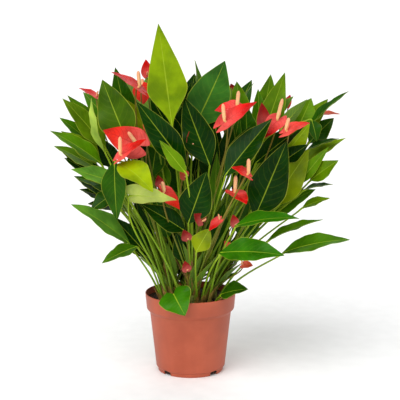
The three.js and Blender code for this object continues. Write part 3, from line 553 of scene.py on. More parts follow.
def is_clear(points, reach=1):
    """Whether points keep at least `reach` cells from every blade and stalk so far."""
    steps = range(-reach, reach + 1)
    around = [(i, j, k) for i in steps for j in steps for k in steps]
    return not any((x + i, y + j, z + k) in taken for x, y, z in cells_of(points) for i, j, k in around)


def evenly(path):
    """A path's points, with more set between them so that no two lie far apart."""
    reach = travelled(path)
    places = np.arange(0, reach[-1], CELL * 0.8)
    return np.stack([np.interp(places, reach, path[:, axis]) for axis in range(3)], axis=1)


# ---- blades ----


def spine_of(start, tip, face, droop):
    """The curved middle line of a blade: it runs from `start` to `tip` and bends away from its upper face."""
    chord = tip - start
    along = unit(chord)
    up = unit(face - np.dot(face, along) * along)
    turn = radians(droop)
    ahead = cos(turn / 2) * along + sin(turn / 2) * up
    normal = cos(turn / 2) * up - sin(turn / 2) * along
    length = np.linalg.norm(chord) * turn / 2 / sin(turn / 2)
    side = np.cross(ahead, normal)
    return dict(start=start, ahead=ahead, normal=normal, side=side, turn=turn, length=length)


def on_spine(spine, share, across=0.0, above=0.0):
    """Points of a blade at a share of its length, so far across it and so far above its middle surface."""
    share, across, above = (np.asarray(value, dtype=float)[..., None] for value in (share, across, above))
    angle = spine["turn"] * share
    radius = spine["length"] / spine["turn"]
    normal = np.cos(angle) * spine["normal"] + np.sin(angle) * spine["ahead"]
    middle = radius * np.sin(angle) * spine["ahead"] - radius * (1 - np.cos(angle)) * spine["normal"]
    return spine["start"] + middle + across * spine["side"] + above * normal


def outline(shape, share):
    """Half the width of a blade at a share of its length, as a share of its greatest half width."""
    base, widest = shape["base"], shape["widest"]
    swelling = np.clip(share / widest, 0, 1) ** shape["rise"]
    narrowing = np.clip((share - widest) / (1 - widest), 0, 1) ** shape["fall"]
    return (base + (1 - base) * np.sin(pi / 2 * swelling)) * (1 - narrowing)


def blade_lift(shape, station, v, across, wave, phase, relief):
    """How far a blade rises off its middle surface: the fold along its midrib, the waves of its
    margins and the puckers between its side veins."""
    side, left = np.abs(v), v < 0
    swell = np.sin(pi * station)
    ripple = np.sin(2 * pi * WAVES * station + phase + np.where(left, WAVE_SPLIT, 0))
    frill = np.sin(2 * pi * FRILLS * station + 3 * phase + np.where(left, 1, 0))
    lift = wave * swell * (ripple * v ** 2 + FRILL_SHARE * frill * side ** 4)
    folded = tan(radians(shape["fold"])) * (np.sqrt(across ** 2 + CREASE ** 2) - CREASE)
    swept = VEINS * (station - VEIN_SWEEP * side ** VEIN_CURVE) + np.where(left, VEIN_SPLIT, 0)
    pucker = -relief * np.cos(2 * pi * swept) * 4 * side * (1 - side) * swell
    return folded + lift + pucker


def blade_faces(rows, columns):
    """Faces of a blade's upper side, its underside and its edge. Each side ends in the blade's tip."""
    tip = rows * (columns + 1)
    lower = tip + 1

    def at(row, column):
        return tip if row == rows else row * (columns + 1) + column

    upper_faces = []
    for row in range(rows):
        for column in range(columns):
            corners = [at(row, column), at(row, column + 1), at(row + 1, column + 1), at(row + 1, column)]
            upper_faces.append(corners[:3] if row == rows - 1 else corners)
    lower_faces = [[corner + lower for corner in reversed(face)] for face in upper_faces]
    rim = [at(0, column) for column in range(columns)] + [at(row, columns) for row in range(rows)]
    rim += [at(row, 0) for row in range(rows, 0, -1)]
    edge_faces = [[a, a + lower, b + lower, b] for a, b in zip(rim, rim[1:] + rim[:1])]
    return upper_faces, lower_faces + edge_faces


def add_blade(batch, spine, shape, width, wave, phase, paint, grid=LEAF_GRID, relief=RELIEF, under=1):
    """A thin closed blade. Its underside has the material numbered `under`."""
    rows, columns = grid
    step = np.linspace(0, 1, rows + 1)[:-1]
    step = step - END_ROWS * np.sin(2 * pi * step)
    place = np.linspace(-1, 1, columns + 1)
    place = np.sign(place) * np.abs(place) ** MID_COLUMNS
    station, v = np.meshgrid(step, place, indexing="ij")
    side = np.abs(v)
    share = station - shape["lobe"] * np.sin(LOBE_ROUND * pi * side) * (1 - station) ** 2
    across = v * width * outline(shape, station) / 2
    middle = on_spine(spine, share, across, blade_lift(shape, station, v, across, wave, phase, relief))
    taken.update(cells_of(middle.reshape(-1, 3)))
    normals = np.cross(np.gradient(middle, axis=1), np.gradient(middle, axis=0))
    normals /= np.linalg.norm(normals, axis=2, keepdims=True)
    half = lerp(SKIN, SKIN * EDGE_SHARE, side)[..., None] / 2
    points = []
    for face in (1, -1):
        points.append((middle + face * half * normals).reshape(-1, 3))
        points.append(on_spine(spine, 1, 0, face * SKIN * EDGE_SHARE / 2)[None])
    seed = phase * 0.37 % 1
    places = np.stack([station, v, np.full_like(station, seed)], axis=2).reshape(-1, 3)
    places = np.vstack([places, [1, 0, seed]])
    seen, unseen = blade_faces(rows, columns)
    looks = [0] * len(seen) + [under] * len(unseen)
    batch.add(np.vstack(points), seen + unseen, paint, np.vstack([places, places]), looks)


# ---- stalks ----


def add_tube(batch, path, radii, colours, sides=TUBE_SIDES, rough=STALK_ROUGH):
    """A closed round tube along a path, with a radius and a colour at each point."""
    path, radii, colours = np.array(path), np.array(radii, dtype=float), np.array(colours)
    taken.update(cells_of(evenly(path)))
    ahead = np.gradient(path, axis=0)
    ahead /= np.linalg.norm(ahead, axis=1, keepdims=True)
    across = vec([1, 0, 0])
    angles = ring_of(sides)
    rings = []
    for point, way, radius in zip(path, ahead, radii):
        across = unit(across - np.dot(across, way) * way)
        third = np.cross(way, across)
        rings.append(point + radius * (np.cos(angles)[:, None] * across + np.sin(angles)[:, None] * third))
    seed = draw.random()
    places = [[length, cos(angle), sin(angle) + 10 * seed] for length in travelled(path) for angle in angles]
    paints = np.hstack([np.repeat(colours, sides, axis=0), np.full((len(path) * sides, 1), rough)])
    batch.add(np.vstack(rings), tube_faces(len(path), sides), paints, places)


def bezier(a, b, c, d, steps):
    share = np.linspace(0, 1, steps + 1)[:, None]
    rest = 1 - share
    return rest ** 3 * a + 3 * rest ** 2 * share * b + 3 * rest * share ** 2 * c + share ** 3 * d


def arch_of(start, end, toward):
    """The way a stalk runs: out of `start`, arching over to arrive at `end` with a lean towards `toward`."""
    chord = end - start
    length = np.linalg.norm(chord)
    straight = unit(chord)
    leave = unit(chord * vec([STALK_SPREAD, STALK_SPREAD, 1]))
    turning = STALK_TURN + TURN_BACK * max(0, TURN_LIMIT - np.dot(straight, toward))
    arrive = unit(straight + turning * toward)
    rise, fall = leave * length * STALK_RISE, arrive * length * STALK_FALL
    return bezier(start, start + rise, end - fall, end, ARCH_STEPS)


def kneed(path, end, toward):
    """A path whose last stretch bends smoothly into the way that the blade takes."""
    kept = [point for point in path if np.linalg.norm(point - end) > KNEE]
    before = kept[-1]
    way = unit(kept[-1] - kept[-2])
    pull = np.linalg.norm(end - before) * KNEE_PULL
    return np.vstack([kept[:-1], bezier(before, before + way * pull, end - toward * pull, end, KNEE_STEPS)])


def stalk_radii(count):
    share = np.linspace(0, 1, count)
    return STALK_TOP + STALK_FLARE * (1 - share) ** 3


def shaded(scheme, count, tint):
    """Colours from a stalk's foot to its top, each moved a little by `tint`."""
    share = np.linspace(0, 1, count)[:, None]
    foot, low, top = (linear(scheme[key]) * tint for key in ("foot", "low", "top"))
    below = lerp(foot, low, np.clip(share / LOW_SHARE, 0, 1))
    above = lerp(low, top, (share - LOW_SHARE) / (1 - LOW_SHARE))
    return np.where(share < LOW_SHARE, below, above)


def tinted(tone):
    """A blade's paint: its tone, a little lighter or darker, warmer or cooler from leaf to leaf."""
    light = draw.uniform(0.86, 1.14)
    warmth = draw.uniform(0.9, 1.1)
    return paint_of(*TONES[tone]) * vec([light * warmth, light, light / warmth, 1])


def add_leaf(blades, stalks, start_path, row, index):
    """A blade, and its stalk, which runs on along the underside as the midrib."""
    start, tip, face, width, droop, shape, tone = row
    spine = spine_of(vec(start), vec(tip), vec(face), droop)
    paint = tinted(tone)
    add_blade(blades, spine, SHAPES[shape], width, width * LEAF_WAVE, index * WAVE_TURN, paint)
    seat = on_spine(spine, 0, 0, -STALK_TOP * STALK_SEAT)
    path = kneed(arch_of(start_path[-1], seat, spine["ahead"]), seat, spine["ahead"])
    path = np.vstack([start_path[:-1], path])
    reach = np.linalg.norm(path - seat, axis=1)
    radii = stalk_radii(len(path)) + KNEE_SWELL * np.exp(-(reach / KNEE) ** 2)
    shares = np.linspace(0, 1, RIB_STEPS + 1)[1:]
    rib_radii = lerp(RIB_START, RIB_TIP, shares ** RIB_FADE)
    rib = on_spine(spine, shares * RIB_REACH, 0, SKIN / 2 + RIB_PROUD - rib_radii)
    stem_colours = shaded(STALK, len(path), draw.uniform(0.85, 1.12))
    first, last = lerp(stem_colours[-1], linear(VEIN), 0.4), lerp(paint[:3], linear(VEIN), 0.45)
    rib_colours = [lerp(first, last, share) for share in shares]
    add_tube(stalks, np.vstack([path, rib]), [*radii, *rib_radii], [*stem_colours, *rib_colours])
    return path


def add_sheath(batch, path, share, length, outward):
    """A papery sheath that wraps a stalk at its foot and comes away from it at its tip."""
    reach = travelled(path)

    def along(distance):
        return vec([np.interp(distance, reach, path[:, axis]) for axis in range(3)])

    begin = share * reach[-1]
    start = along(begin) + outward * SHEATH_OUT
    tip = along(begin + length) + outward * (SHEATH_OUT + length * SHEATH_SPLAY)
    spine = spine_of(start, tip, -outward, SHEATH_DROOP)
    colour = lerp(linear(SHEATH["foot"]), linear(SHEATH["top"]), draw.random())
    paint = np.append(lerp(colour, linear(SHEATH["low"]), 0.5), SHEATH_ROUGH)
    add_blade(batch, spine, SHAPES["sheath"], SHEATH_WIDTH, SHEATH_WAVE, draw.uniform(0, 6), paint,
              SHEATH_GRID, SHEATH_RELIEF, 0)


# ---- finishes ----


class Finish:
    """A material made of nodes. Each helper returns the socket that carries its result."""

    def __init__(self, name):
        self.material = bpy.data.materials.new(name)
        self.material.use_nodes = True
        self.tree = self.material.node_tree
        self.shader = self.tree.nodes["Principled BSDF"]
        self.position = self.node("TexCoord").outputs["Object"]

    def node(self, kind, **inputs):
        """A node with values or sockets fed to its inputs, which are given by their names."""
        node = self.tree.nodes.new("ShaderNode" + kind)
        for name, value in inputs.items():
            self.feed(node.inputs[name.replace("_", " ")], value)
        return node

    def feed(self, socket, value):
        if isinstance(value, bpy.types.NodeSocket):
            self.tree.links.new(value, socket)
        else:
            socket.default_value = value

    def set(self, **inputs):
        """Feeds the shader's own sockets and hands over the material."""
        for name, value in inputs.items():
            self.feed(self.shader.inputs[name.replace("_", " ")], value)
        return self.material

    def math(self, operation, *values):
        node = self.node("Math")
        node.operation = operation
        for socket, value in zip(node.inputs, values):
            self.feed(socket, value)
        return node.outputs[0]

    def plus(self, first, second):
        return self.math("ADD", first, second)

    def times(self, first, second):
        return self.math("MULTIPLY", first, second)

    def mix(self, share, first, second, blend="MIX"):
        node = self.node("Mix")
        node.data_type = "RGBA"
        node.blend_type = blend
        for number, value in ((0, share), (6, first), (7, second)):
            self.feed(node.inputs[number], value)
        return node.outputs[2]

    def mottled(self, share, colour, dark, light):
        """A colour multiplied by `dark` where the share is 0 and by `light` where it is 1."""
        shades = [self.mix(1.0, colour, (*by, 1), "MULTIPLY") for by in (dark, light)]
        return self.mix(share, *shades)

    def ramp(self, value, low, high, start=0.0, end=1.0):
        """Runs smoothly from `start` to `end` as the value goes from `low` to `high`."""
        node = self.node("MapRange", Value=value, From_Min=low, From_Max=high, To_Min=start, To_Max=end)
        node.interpolation_type = "SMOOTHSTEP"
        return node.outputs["Result"]

    def noise(self, scale, detail=2.0, vector=None, rough=0.5):
        vector = vector or self.position
        node = self.node("TexNoise", Vector=vector, Scale=scale, Detail=detail, Roughness=rough)
        return node.outputs["Fac"]

    def cells(self, scale):
        return self.node("TexVoronoi", Vector=self.position, Scale=scale).outputs["Distance"]

    def attribute(self, name):
        node = self.node("Attribute")
        node.attribute_name = name
        return node.outputs

    def split(self, vector):
        return self.node("SeparateXYZ", Vector=vector).outputs

    def stretched(self, vector, scale):
        return self.node("Mapping", Vector=vector, Scale=scale).outputs[0]

    def bump(self, height, strength, distance):
        node = self.node("Bump", Height=height, Strength=strength, Distance=distance * MM)
        self.feed(self.shader.inputs["Normal"], node.outputs[0])


def colour4(colour):
    return (*linear(colour), 1)


def blade_finish(name, vein, vein_share, vein_height, margin, margin_share, side_veins=1.0,
                 pale=0.0, painted_sheen=0.0, rough_shift=0.0, **shading):
    """A leaf's or spathe's skin: its paint, mottled, with side veins, the vein that joins them near
    the margin, and a thin light margin, and, for a spathe, a painted pale pink sheen near its base."""
    finish = Finish(name)
    paint = finish.attribute("paint")
    share, across, _ = finish.split(finish.attribute("place")["Vector"])
    side = finish.math("ABSOLUTE", across)
    shift = finish.times(finish.math("LESS_THAN", across, 0.0), VEIN_SPLIT)
    swept = finish.times(finish.math("POWER", side, VEIN_CURVE), VEIN_SWEEP)
    wander = finish.times(finish.noise(55), 0.5)
    count = finish.times(finish.math("SUBTRACT", share, swept), float(VEINS))
    place = finish.math("FRACT", finish.plus(finish.plus(count, shift), wander))
    near = finish.math("ABSOLUTE", finish.math("SUBTRACT", place, 0.5))
    lateral = finish.times(finish.ramp(near, 0.4, 0.5), finish.ramp(side, 0.96, 0.7))
    joining = finish.ramp(finish.math("ABSOLUTE", finish.math("SUBTRACT", side, 0.86)), 0.03, 0.0, end=0.6)
    middle = finish.ramp(side, 0.055, 0.01)
    lateral = finish.times(finish.math("MAXIMUM", lateral, joining), side_veins)
    veins = finish.math("MAXIMUM", lateral, middle)
    cloud = finish.noise(28, 3.0)
    speck = finish.noise(600, 2.0)
    cloudy = finish.ramp(cloud, 0.3, 0.7)
    colour = finish.mottled(cloudy, paint["Color"], (0.7, 0.74, 0.66), (1.28, 1.22, 1))
    if pale:
        colour = finish.mix(pale, colour, colour4(UNDERSIDE))
    # painted sheen: pale pink mixed into the colour, strongest near the base and in patches of the cloud
    # noise
    if painted_sheen:
        spread = finish.times(finish.ramp(share, 0.75, 0.15), finish.ramp(cloud, 0.35, 0.65, 0.4, 1))
        colour = finish.mix(finish.times(spread, painted_sheen), colour, colour4(PAINTED_SHEEN))
    colour = finish.mix(finish.times(veins, vein_share), colour, colour4(vein))
    edge = finish.times(finish.ramp(side, 0.95, 0.99), margin_share)
    colour = finish.mix(edge, colour, colour4(margin))
    duller = finish.ramp(cloud, 0.2, 0.8, rough_shift - 0.04, rough_shift + 0.06)
    finish.bump(finish.math("MULTIPLY_ADD", veins, vein_height, finish.times(speck, 0.25)), 0.6, 0.5)
    rough = finish.plus(paint["Alpha"], duller)
    return finish.set(Base_Color=colour, Roughness=rough, **shading)


def stalk_finish():
    finish = Finish("stalk")
    paint = finish.attribute("paint")
    place = finish.attribute("place")["Vector"]
    streak = finish.noise(1.0, 3.0, finish.stretched(place, (0.03, 2.2, 2.2)))
    fleck = finish.noise(420, 2.0)
    streaked = finish.ramp(streak, 0.32, 0.68)
    colour = finish.mottled(streaked, paint["Color"], (0.66, 0.7, 0.6), (1.25, 1.2, 1.15))
    colour = finish.mix(finish.ramp(fleck, 0.66, 0.74, end=0.4), colour, colour4("D6D59A"))
    finish.bump(finish.plus(streak, finish.times(fleck, 0.4)), 0.35, 0.4)
    rough = finish.plus(paint["Alpha"], finish.times(fleck, 0.12))
    return finish.set(Base_Color=colour, Roughness=rough, Specular_IOR_Level=0.2)


def sheath_finish():
    finish = Finish("papery sheath")
    paint = finish.attribute("paint")
    place = finish.attribute("place")["Vector"]
    fibre = finish.noise(1.0, 4.0, finish.stretched(place, (3.0, 16.0, 5.0)))
    patch = finish.noise(160, 3.0)
    fibrous = finish.ramp(fibre, 0.35, 0.65)
    colour = finish.mottled(fibrous, paint["Color"], (0.45, 0.4, 0.36), (1.5, 1.4, 1.2))
    colour = finish.mix(finish.ramp(patch, 0.5, 0.7, end=0.5), colour, colour4("5A3218"))
    finish.bump(finish.plus(fibre, patch), 0.5, 0.5)
    return finish.set(Base_Color=colour, Roughness=finish.ramp(patch, 0.2, 0.8, 0.5, 0.8))


def spadix_finish():
    finish = Finish("spadix")
    paint = finish.attribute("paint")
    crown = finish.split(finish.attribute("place")["Vector"])[0]
    grain = finish.noise(900, 2.0)
    # painted shade: the hollows between the florets are darkened towards amber
    painted_hollow_shade = finish.mix(1.0, paint["Color"], (0.78, 0.66, 0.44, 1), "MULTIPLY")
    colour = finish.mix(finish.ramp(crown, 0.1, 0.7), painted_hollow_shade, paint["Color"])
    finish.bump(grain, 0.25, 0.3)
    rough = finish.ramp(grain, 0.3, 0.7, 0.42, 0.6)
    return finish.set(Base_Color=colour, Roughness=rough, Subsurface_Weight=0.15, Subsurface_Scale=0.0015)


def pot_finish():
    finish = Finish("terracotta plastic")
    cloud = finish.noise(14, 4.0)
    run = finish.noise(1.0, 3.0, finish.stretched(finish.position, (60, 60, 6)))
    grain = finish.noise(1100, 2.0)
    scuff = finish.noise(1.0, 5.0, finish.stretched(finish.position, (40, 40, 260)), 0.7)
    colour = finish.mix(finish.ramp(cloud, 0.3, 0.7), colour4("A4492C"), colour4("B65638"))
    colour = finish.mix(finish.ramp(run, 0.45, 0.75, end=0.25), colour, colour4("9A432A"))
    colour = finish.mix(finish.ramp(scuff, 0.64, 0.72, end=0.22), colour, colour4("CC8268"))
    rough = finish.plus(finish.ramp(cloud, 0.2, 0.8, 0.38, 0.5), finish.times(scuff, 0.1))
    finish.bump(finish.plus(grain, finish.times(scuff, 0.6)), 0.12, 0.3)
    return finish.set(Base_Color=colour, Roughness=rough, Specular_IOR_Level=0.45, **RED_GLOW)


def soil_finish():
    finish = Finish("potting soil")
    paint = finish.attribute("paint")
    clump = finish.noise(180, 5.0, rough=0.7)
    clumped = finish.ramp(clump, 0.35, 0.68)
    colour = finish.mottled(clumped, paint["Color"], (0.4, 0.36, 0.34), (1.9, 1.7, 1.5))
    finish.bump(finish.plus(clump, finish.cells(700)), 0.9, 1.2)
    rough = finish.ramp(clump, 0.3, 0.7, 0.8, 0.98)
    return finish.set(Base_Color=colour, Roughness=rough, Specular_IOR_Level=0.25)


def floor_finish():
    finish = Finish("studio floor")
    dust = finish.noise(30, 3.0)
    colour = finish.mix(finish.ramp(dust, 0.3, 0.7), (0.9, 0.9, 0.9, 1), (0.93, 0.93, 0.93, 1))
    rough = finish.ramp(dust, 0.3, 0.7, 0.55, 0.7)
    return finish.set(Base_Color=colour, Roughness=rough, Specular_IOR_Level=0.2)


# how light sinks into the green pieces and into the red ones
GREEN_GLOW = dict(Subsurface_Weight=0.06, Subsurface_Scale=0.001)
RED_GLOW = dict(Subsurface_Weight=0.05, Subsurface_Scale=0.002)

UPPER = blade_finish("leaf upper side", VEIN, 0.4, -0.4, MARGIN, 0.5, side_veins=0.12,
                     Specular_IOR_Level=0.07, **GREEN_GLOW)
LOWER = blade_finish("leaf underside", VEIN, 0.35, 0.8, MARGIN, 0.4, pale=0.38, rough_shift=0.2,
                     Specular_IOR_Level=0.1, **GREEN_GLOW)
# the spathe's face carries a painted pale pink sheen near its base
RED = blade_finish("spathe face", "A80C08", 0.45, -1.2, "9C0A08", 0.3, painted_sheen=0.45,
                   Specular_IOR_Level=0.12, Coat_Weight=0.05, Coat_Roughness=0.2, **RED_GLOW)
RED_BACK = blade_finish("spathe back", "E86A58", 0.35, 1.0, "F08A6A", 0.3, rough_shift=0.2,
                        Specular_IOR_Level=0.1, **RED_GLOW)
STALKS, SHEATHS, SPADICES = stalk_finish(), sheath_finish(), spadix_finish()
PLASTIC, EARTH = pot_finish(), soil_finish()

# ---- pot ----

body_top_radius = RIM_RADIUS - RIM_TAPER - RIM_STEP
body_base_radius = body_top_radius - BODY_TAPER
foot_radius = body_base_radius - FOOT_STEP
band_base = POT_HEIGHT - RIM_BAND + SHELF_RISE / 4
body_top = band_base - SHELF_RISE

POT_OUTSIDE = [
    (0, FOOT_HOLLOW),
    (foot_radius - FOOT_RECESS, FOOT_HOLLOW),
    (foot_radius - FOOT_EDGE, 0),
    (foot_radius, FOOT_EDGE),
    (foot_radius + FOOT_FLARE, FOOT_HEIGHT - FOOT_STEP / 2),
    (body_base_radius, FOOT_HEIGHT),
    (body_top_radius, body_top),
    (body_top_radius + RIM_STEP / 2, body_top + SHELF_RISE / 2),
    (RIM_RADIUS - RIM_TAPER, band_base),
    (RIM_RADIUS, POT_HEIGHT - LIP_ROUND),
    (RIM_RADIUS - LIP_ROUND, POT_HEIGHT),
]
POT_INSIDE = [
    (RIM_RADIUS - WALL, POT_HEIGHT),
    (RIM_RADIUS - RIM_TAPER - WALL, band_base + WALL),
    (body_top_radius - WALL, body_top + WALL / 2),
    (body_base_radius - WALL, FOOT_HEIGHT + WALL),
    (foot_radius - WALL, FLOOR),
]


def rounded(profile, cut):
    """A profile with each corner between its ends replaced by a short curve."""
    profile = [vec(point) for point in profile]
    points = [profile[0]]
    for before, corner, after in zip(profile, profile[1:], profile[2:]):
        near = min(cut, np.linalg.norm(before - corner) * 0.45, np.linalg.norm(after - corner) * 0.45)
        start = corner + unit(before - corner) * near
        end = corner + unit(after - corner) * near
        points += list(bezier(start, lerp(start, corner, 0.6), lerp(end, corner, 0.6), end, CORNER_STEPS))
    return points + [profile[-1]]


def turned(profile, segments):
    """Points and faces of a profile turned about the upright axis, on which it begins and ends."""
    points = [[0, 0, profile[0][1]]]
    for radius, height in profile[1:-1]:
        points += [[radius * cos(angle), radius * sin(angle), height] for angle in ring_of(segments)]
    points.append([0, 0, profile[-1][1]])
    last, rings = len(points) - 1, len(profile) - 2
    top = last - segments
    faces = [[0, 1 + (k + 1) % segments, 1 + k] for k in range(segments)]
    faces += ring_faces(rings, segments, 1)
    faces += [[top + k, top + (k + 1) % segments, last] for k in range(segments)]
    return vec(points), faces


def arched_block():
    """A drain hole's cutter: a block with a round top, lying across the foot's edge."""
    half = DRAIN_WIDTH / 2
    angles = np.linspace(0, pi, DRAIN_STEPS + 1)
    arc = [(half * cos(angle), DRAIN_HEIGHT * lerp(DRAIN_SPRING, 1, sin(angle))) for angle in angles]
    section = [(half, -CUT_BELOW), *arc, (-half, -CUT_BELOW)]
    points = [[foot_radius + reach, y, z] for reach in (-DRAIN_REACH, DRAIN_REACH) for y, z in section]
    count = len(section)
    faces = [list(range(count))[::-1], list(range(count, 2 * count))]
    faces += [[i, (i + 1) % count, count + (i + 1) % count, count + i] for i in range(count)]
    return vec(points), faces


def plain_object(name, points, faces):
    mesh = bpy.data.meshes.new(name)
    mesh.from_pydata((points * MM).tolist(), [], faces)
    return placed(name, mesh)


def build_pot():
    outside = rounded(POT_OUTSIDE, OUTER_ROUND)
    inside = rounded([POT_OUTSIDE[-1], *POT_INSIDE, (0, FLOOR)], INNER_ROUND)
    batch = Batch()
    batch.add(*turned(outside + inside[1:], POT_SEGMENTS))
    pot = make_piece("pot_shell", batch, [PLASTIC], "pot")
    cutters = []
    for i in range(DRAINS):
        cutter = plain_object(f"drain_{i}", *arched_block())
        cutter.rotation_euler.z = radians(DRAIN_TURN + 360 * i / DRAINS)
        cut = pot.modifiers.new(cutter.name, "BOOLEAN")
        cut.operation = "DIFFERENCE"
        cut.object = cutter
        cutters.append(cutter)
    bpy.context.view_layer.update()
    finished = bpy.data.meshes.new_from_object(pot.evaluated_get(bpy.context.evaluated_depsgraph_get()))
    pot.modifiers.clear()
    pot.data = finished
    for cutter in cutters:
        bpy.data.objects.remove(cutter)


# ---- soil ----


def soil_height(x, y):
    """The soil's surface with its waves, lumps and grains, settled a little towards the wall."""
    settled = SOIL_SETTLE * max(0, hypot(x, y) / RIM_RADIUS - SETTLE_START)
    bumps = [height * noise.noise(Vector((x, y, 3.7)) * closeness) for height, closeness in SOIL_BUMPS]
    return SOIL_LEVEL + SOIL_RISE - settled + sum(bumps)


def add_crumb(batch, middle, size, colour):
    """A small lump with a crumpled surface."""
    points, faces = turned(CRUMB_OUTLINE, CRUMB_SIDES)
    spin = draw.uniform(0, pi)
    turn = np.array([[cos(spin), -sin(spin), 0], [sin(spin), cos(spin), 0], [0, 0, 1]])
    jitter = vec([[draw.uniform(0.7, 1.25)] for _ in points])
    shape = vec([draw.uniform(0.7, 1.4), draw.uniform(0.7, 1.1), draw.uniform(0.5, 0.9)])
    batch.add(middle + (points * jitter * shape * size) @ turn.T, faces, colour)


def build_soil():
    rise = (SOIL_LEVEL - POT_INSIDE[1][1]) / (POT_HEIGHT - POT_INSIDE[1][1])
    wall = lerp(POT_INSIDE[1][0], POT_INSIDE[0][0], rise) - GAP
    below = [(radius - GAP, height) for radius, height in POT_INSIDE[1:-1]]
    base = [(foot_radius - WALL - GAP, FLOOR + GAP), (0, FLOOR + GAP)]
    top = [(wall * share, SOIL_LEVEL) for share in np.linspace(0, 1, SOIL_RINGS)]
    points, faces = turned((top + below + base)[::-1], SOIL_SEGMENTS)
    for point in points:
        if point[2] == SOIL_LEVEL:
            point[2] = soil_height(point[0], point[1])
    batch = Batch()
    batch.add(points, faces, paint_of(SOIL, SOIL_ROUGH))
    for _ in range(CRUMBS):
        radius, angle = (wall - CRUMB_MARGIN) * sqrt(draw.random()), draw.uniform(0, 2 * pi)
        x, y = radius * cos(angle), radius * sin(angle)
        size = draw.choice(CRUMB_SIZES)
        colour = paint_of(draw.choice(CRUMB_COLOURS), SOIL_ROUGH)
        add_crumb(batch, vec([x, y, soil_height(x, y) + size * 0.2]), size, colour)
    make_piece("soil_surface", batch, [EARTH], "soil")


# ---- leaves ----

foot_level = SOIL_LEVEL - HOLE_DEPTH + GAP


def away_from(root, target):
    return unit(vec([target[0] - root[0], target[1] - root[1], 0]))


def build_leaf(index, place, root, *row):
    name = f"leaf_{place}"
    blades, stalks, sheaths = Batch(), Batch(), Batch()
    start_path = np.array([vec([*root, foot_level]), vec([*root, SOIL_LEVEL + STALK_STRAIGHT])])
    path = add_leaf(blades, stalks, start_path, row, index)
    add_sheath(sheaths, path, SHEATH_START, draw.uniform(*SHEATH_LENGTHS), away_from((0, 0), root))
    make_piece(f"{name}_blade", blades, [UPPER, LOWER], name)
    make_piece(f"{name}_stalk", stalks, [STALKS], name)
    make_piece(f"{name}_sheath", sheaths, [SHEATHS], name)


# ---- crowns ----


def crown_point(root, index):
    """The point on the axis of a crown from which a stalk leaves it."""
    tier = index % CROWN_TIERS / (CROWN_TIERS - 1)
    return vec([*root, SOIL_LEVEL + CROWN_HEIGHT * lerp(CROWN_LOWEST, CROWN_HIGHEST, tier)])


def bloom_spine(seat, tip, face):
    start = vec(seat) - (vec(tip) - vec(seat)) * SEAT / (1 - SEAT)
    return spine_of(start, vec(tip), vec(face), SPATHE_DROOP)


def add_strap(batch, root, tip, index):
    """A low leaf with hardly any stalk: a narrow upright blade out of the crown."""
    inward = vec([root[0] - tip[0], root[1] - tip[1], STRAP_LEAN])
    spine = spine_of(crown_point(root, index), vec(tip), inward, STRAP_DROOP)
    paint = tinted(draw.choice(STRAP_TONES))
    add_blade(batch, spine, SHAPES["strap"], STRAP_WIDTH, STRAP_WAVE, index, paint, STRAP_GRID)


def add_bud(reds, spadices, stalks, root, row, index):
    """A small young bloom: a heart-shaped spathe with a short spadix."""
    seat, tip, face, width, tone = vec(row[0]), vec(row[1]), vec(row[2]), *row[3:]
    spine = spine_of(seat, tip, face, BUD_DROOP)
    foot = seat - spine["normal"] * BUD_NECK
    path = np.vstack([arch_of(crown_point(root, index), foot, spine["normal"]), seat])
    add_tube(stalks, path, stalk_radii(len(path)) * BUD_STALK, shaded(PEDUNCLE, len(path), 0.9))
    add_blade(reds, spine, SHAPES["bud"], width, BUD_WAVE, index, tinted(tone), BUD_GRID)
    lean = unit(spine["normal"] + UP * 0.6)
    add_spadix(spadices, on_spine(spine, SEAT, 0, SKIN), lean, width * BUD_SPADIX, width * BUD_SPADIX_RADIUS)


def add_peduncle(batch, root, bloom, index):
    """The stalk of an open bloom, from its crown to its spathe."""
    spine = bloom_spine(*bloom[1:4])
    end = on_spine(spine, SEAT, 0, -SKIN / 2)
    before = on_spine(spine, SEAT, 0, -BLADE_THICKNESS / 2 - GAP - SPATHE_NECK)
    path = np.vstack([arch_of(crown_point(root, index), before, spine["normal"]), end])
    radii = [*stalk_radii(len(path) - 1) * PEDUNCLE_SLIM, STALK_TOP * PEDUNCLE_TOP]
    add_tube(batch, path, radii, shaded(PEDUNCLE, len(path), draw.uniform(0.85, 1.1)))
    return path


def add_stem(batch, root):
    """The knobbly short stem of a crown, ringed where old leaves grew."""
    heights = np.linspace(foot_level, SOIL_LEVEL + CROWN_HEIGHT, STEM_RINGS)
    share = np.linspace(0, 1, STEM_RINGS)
    knobs = 0.88 + 0.1 * np.abs(np.sin(share * pi * STEM_KNOBS))
    radii = CROWN_RADIUS * (1 - STEM_TAPER * share ** 4) * knobs
    path = [vec([root[0] + STEM_SWAY * sin(9 * s), root[1] + STEM_SWAY * cos(12 * s), height])
            for s, height in zip(share, heights)]
    colours = [lerp(linear(STEM["foot"]), linear(STEM["top"]), s) for s in share]
    add_tube(batch, path, radii, colours, STEM_SIDES, STEM_ROUGH)


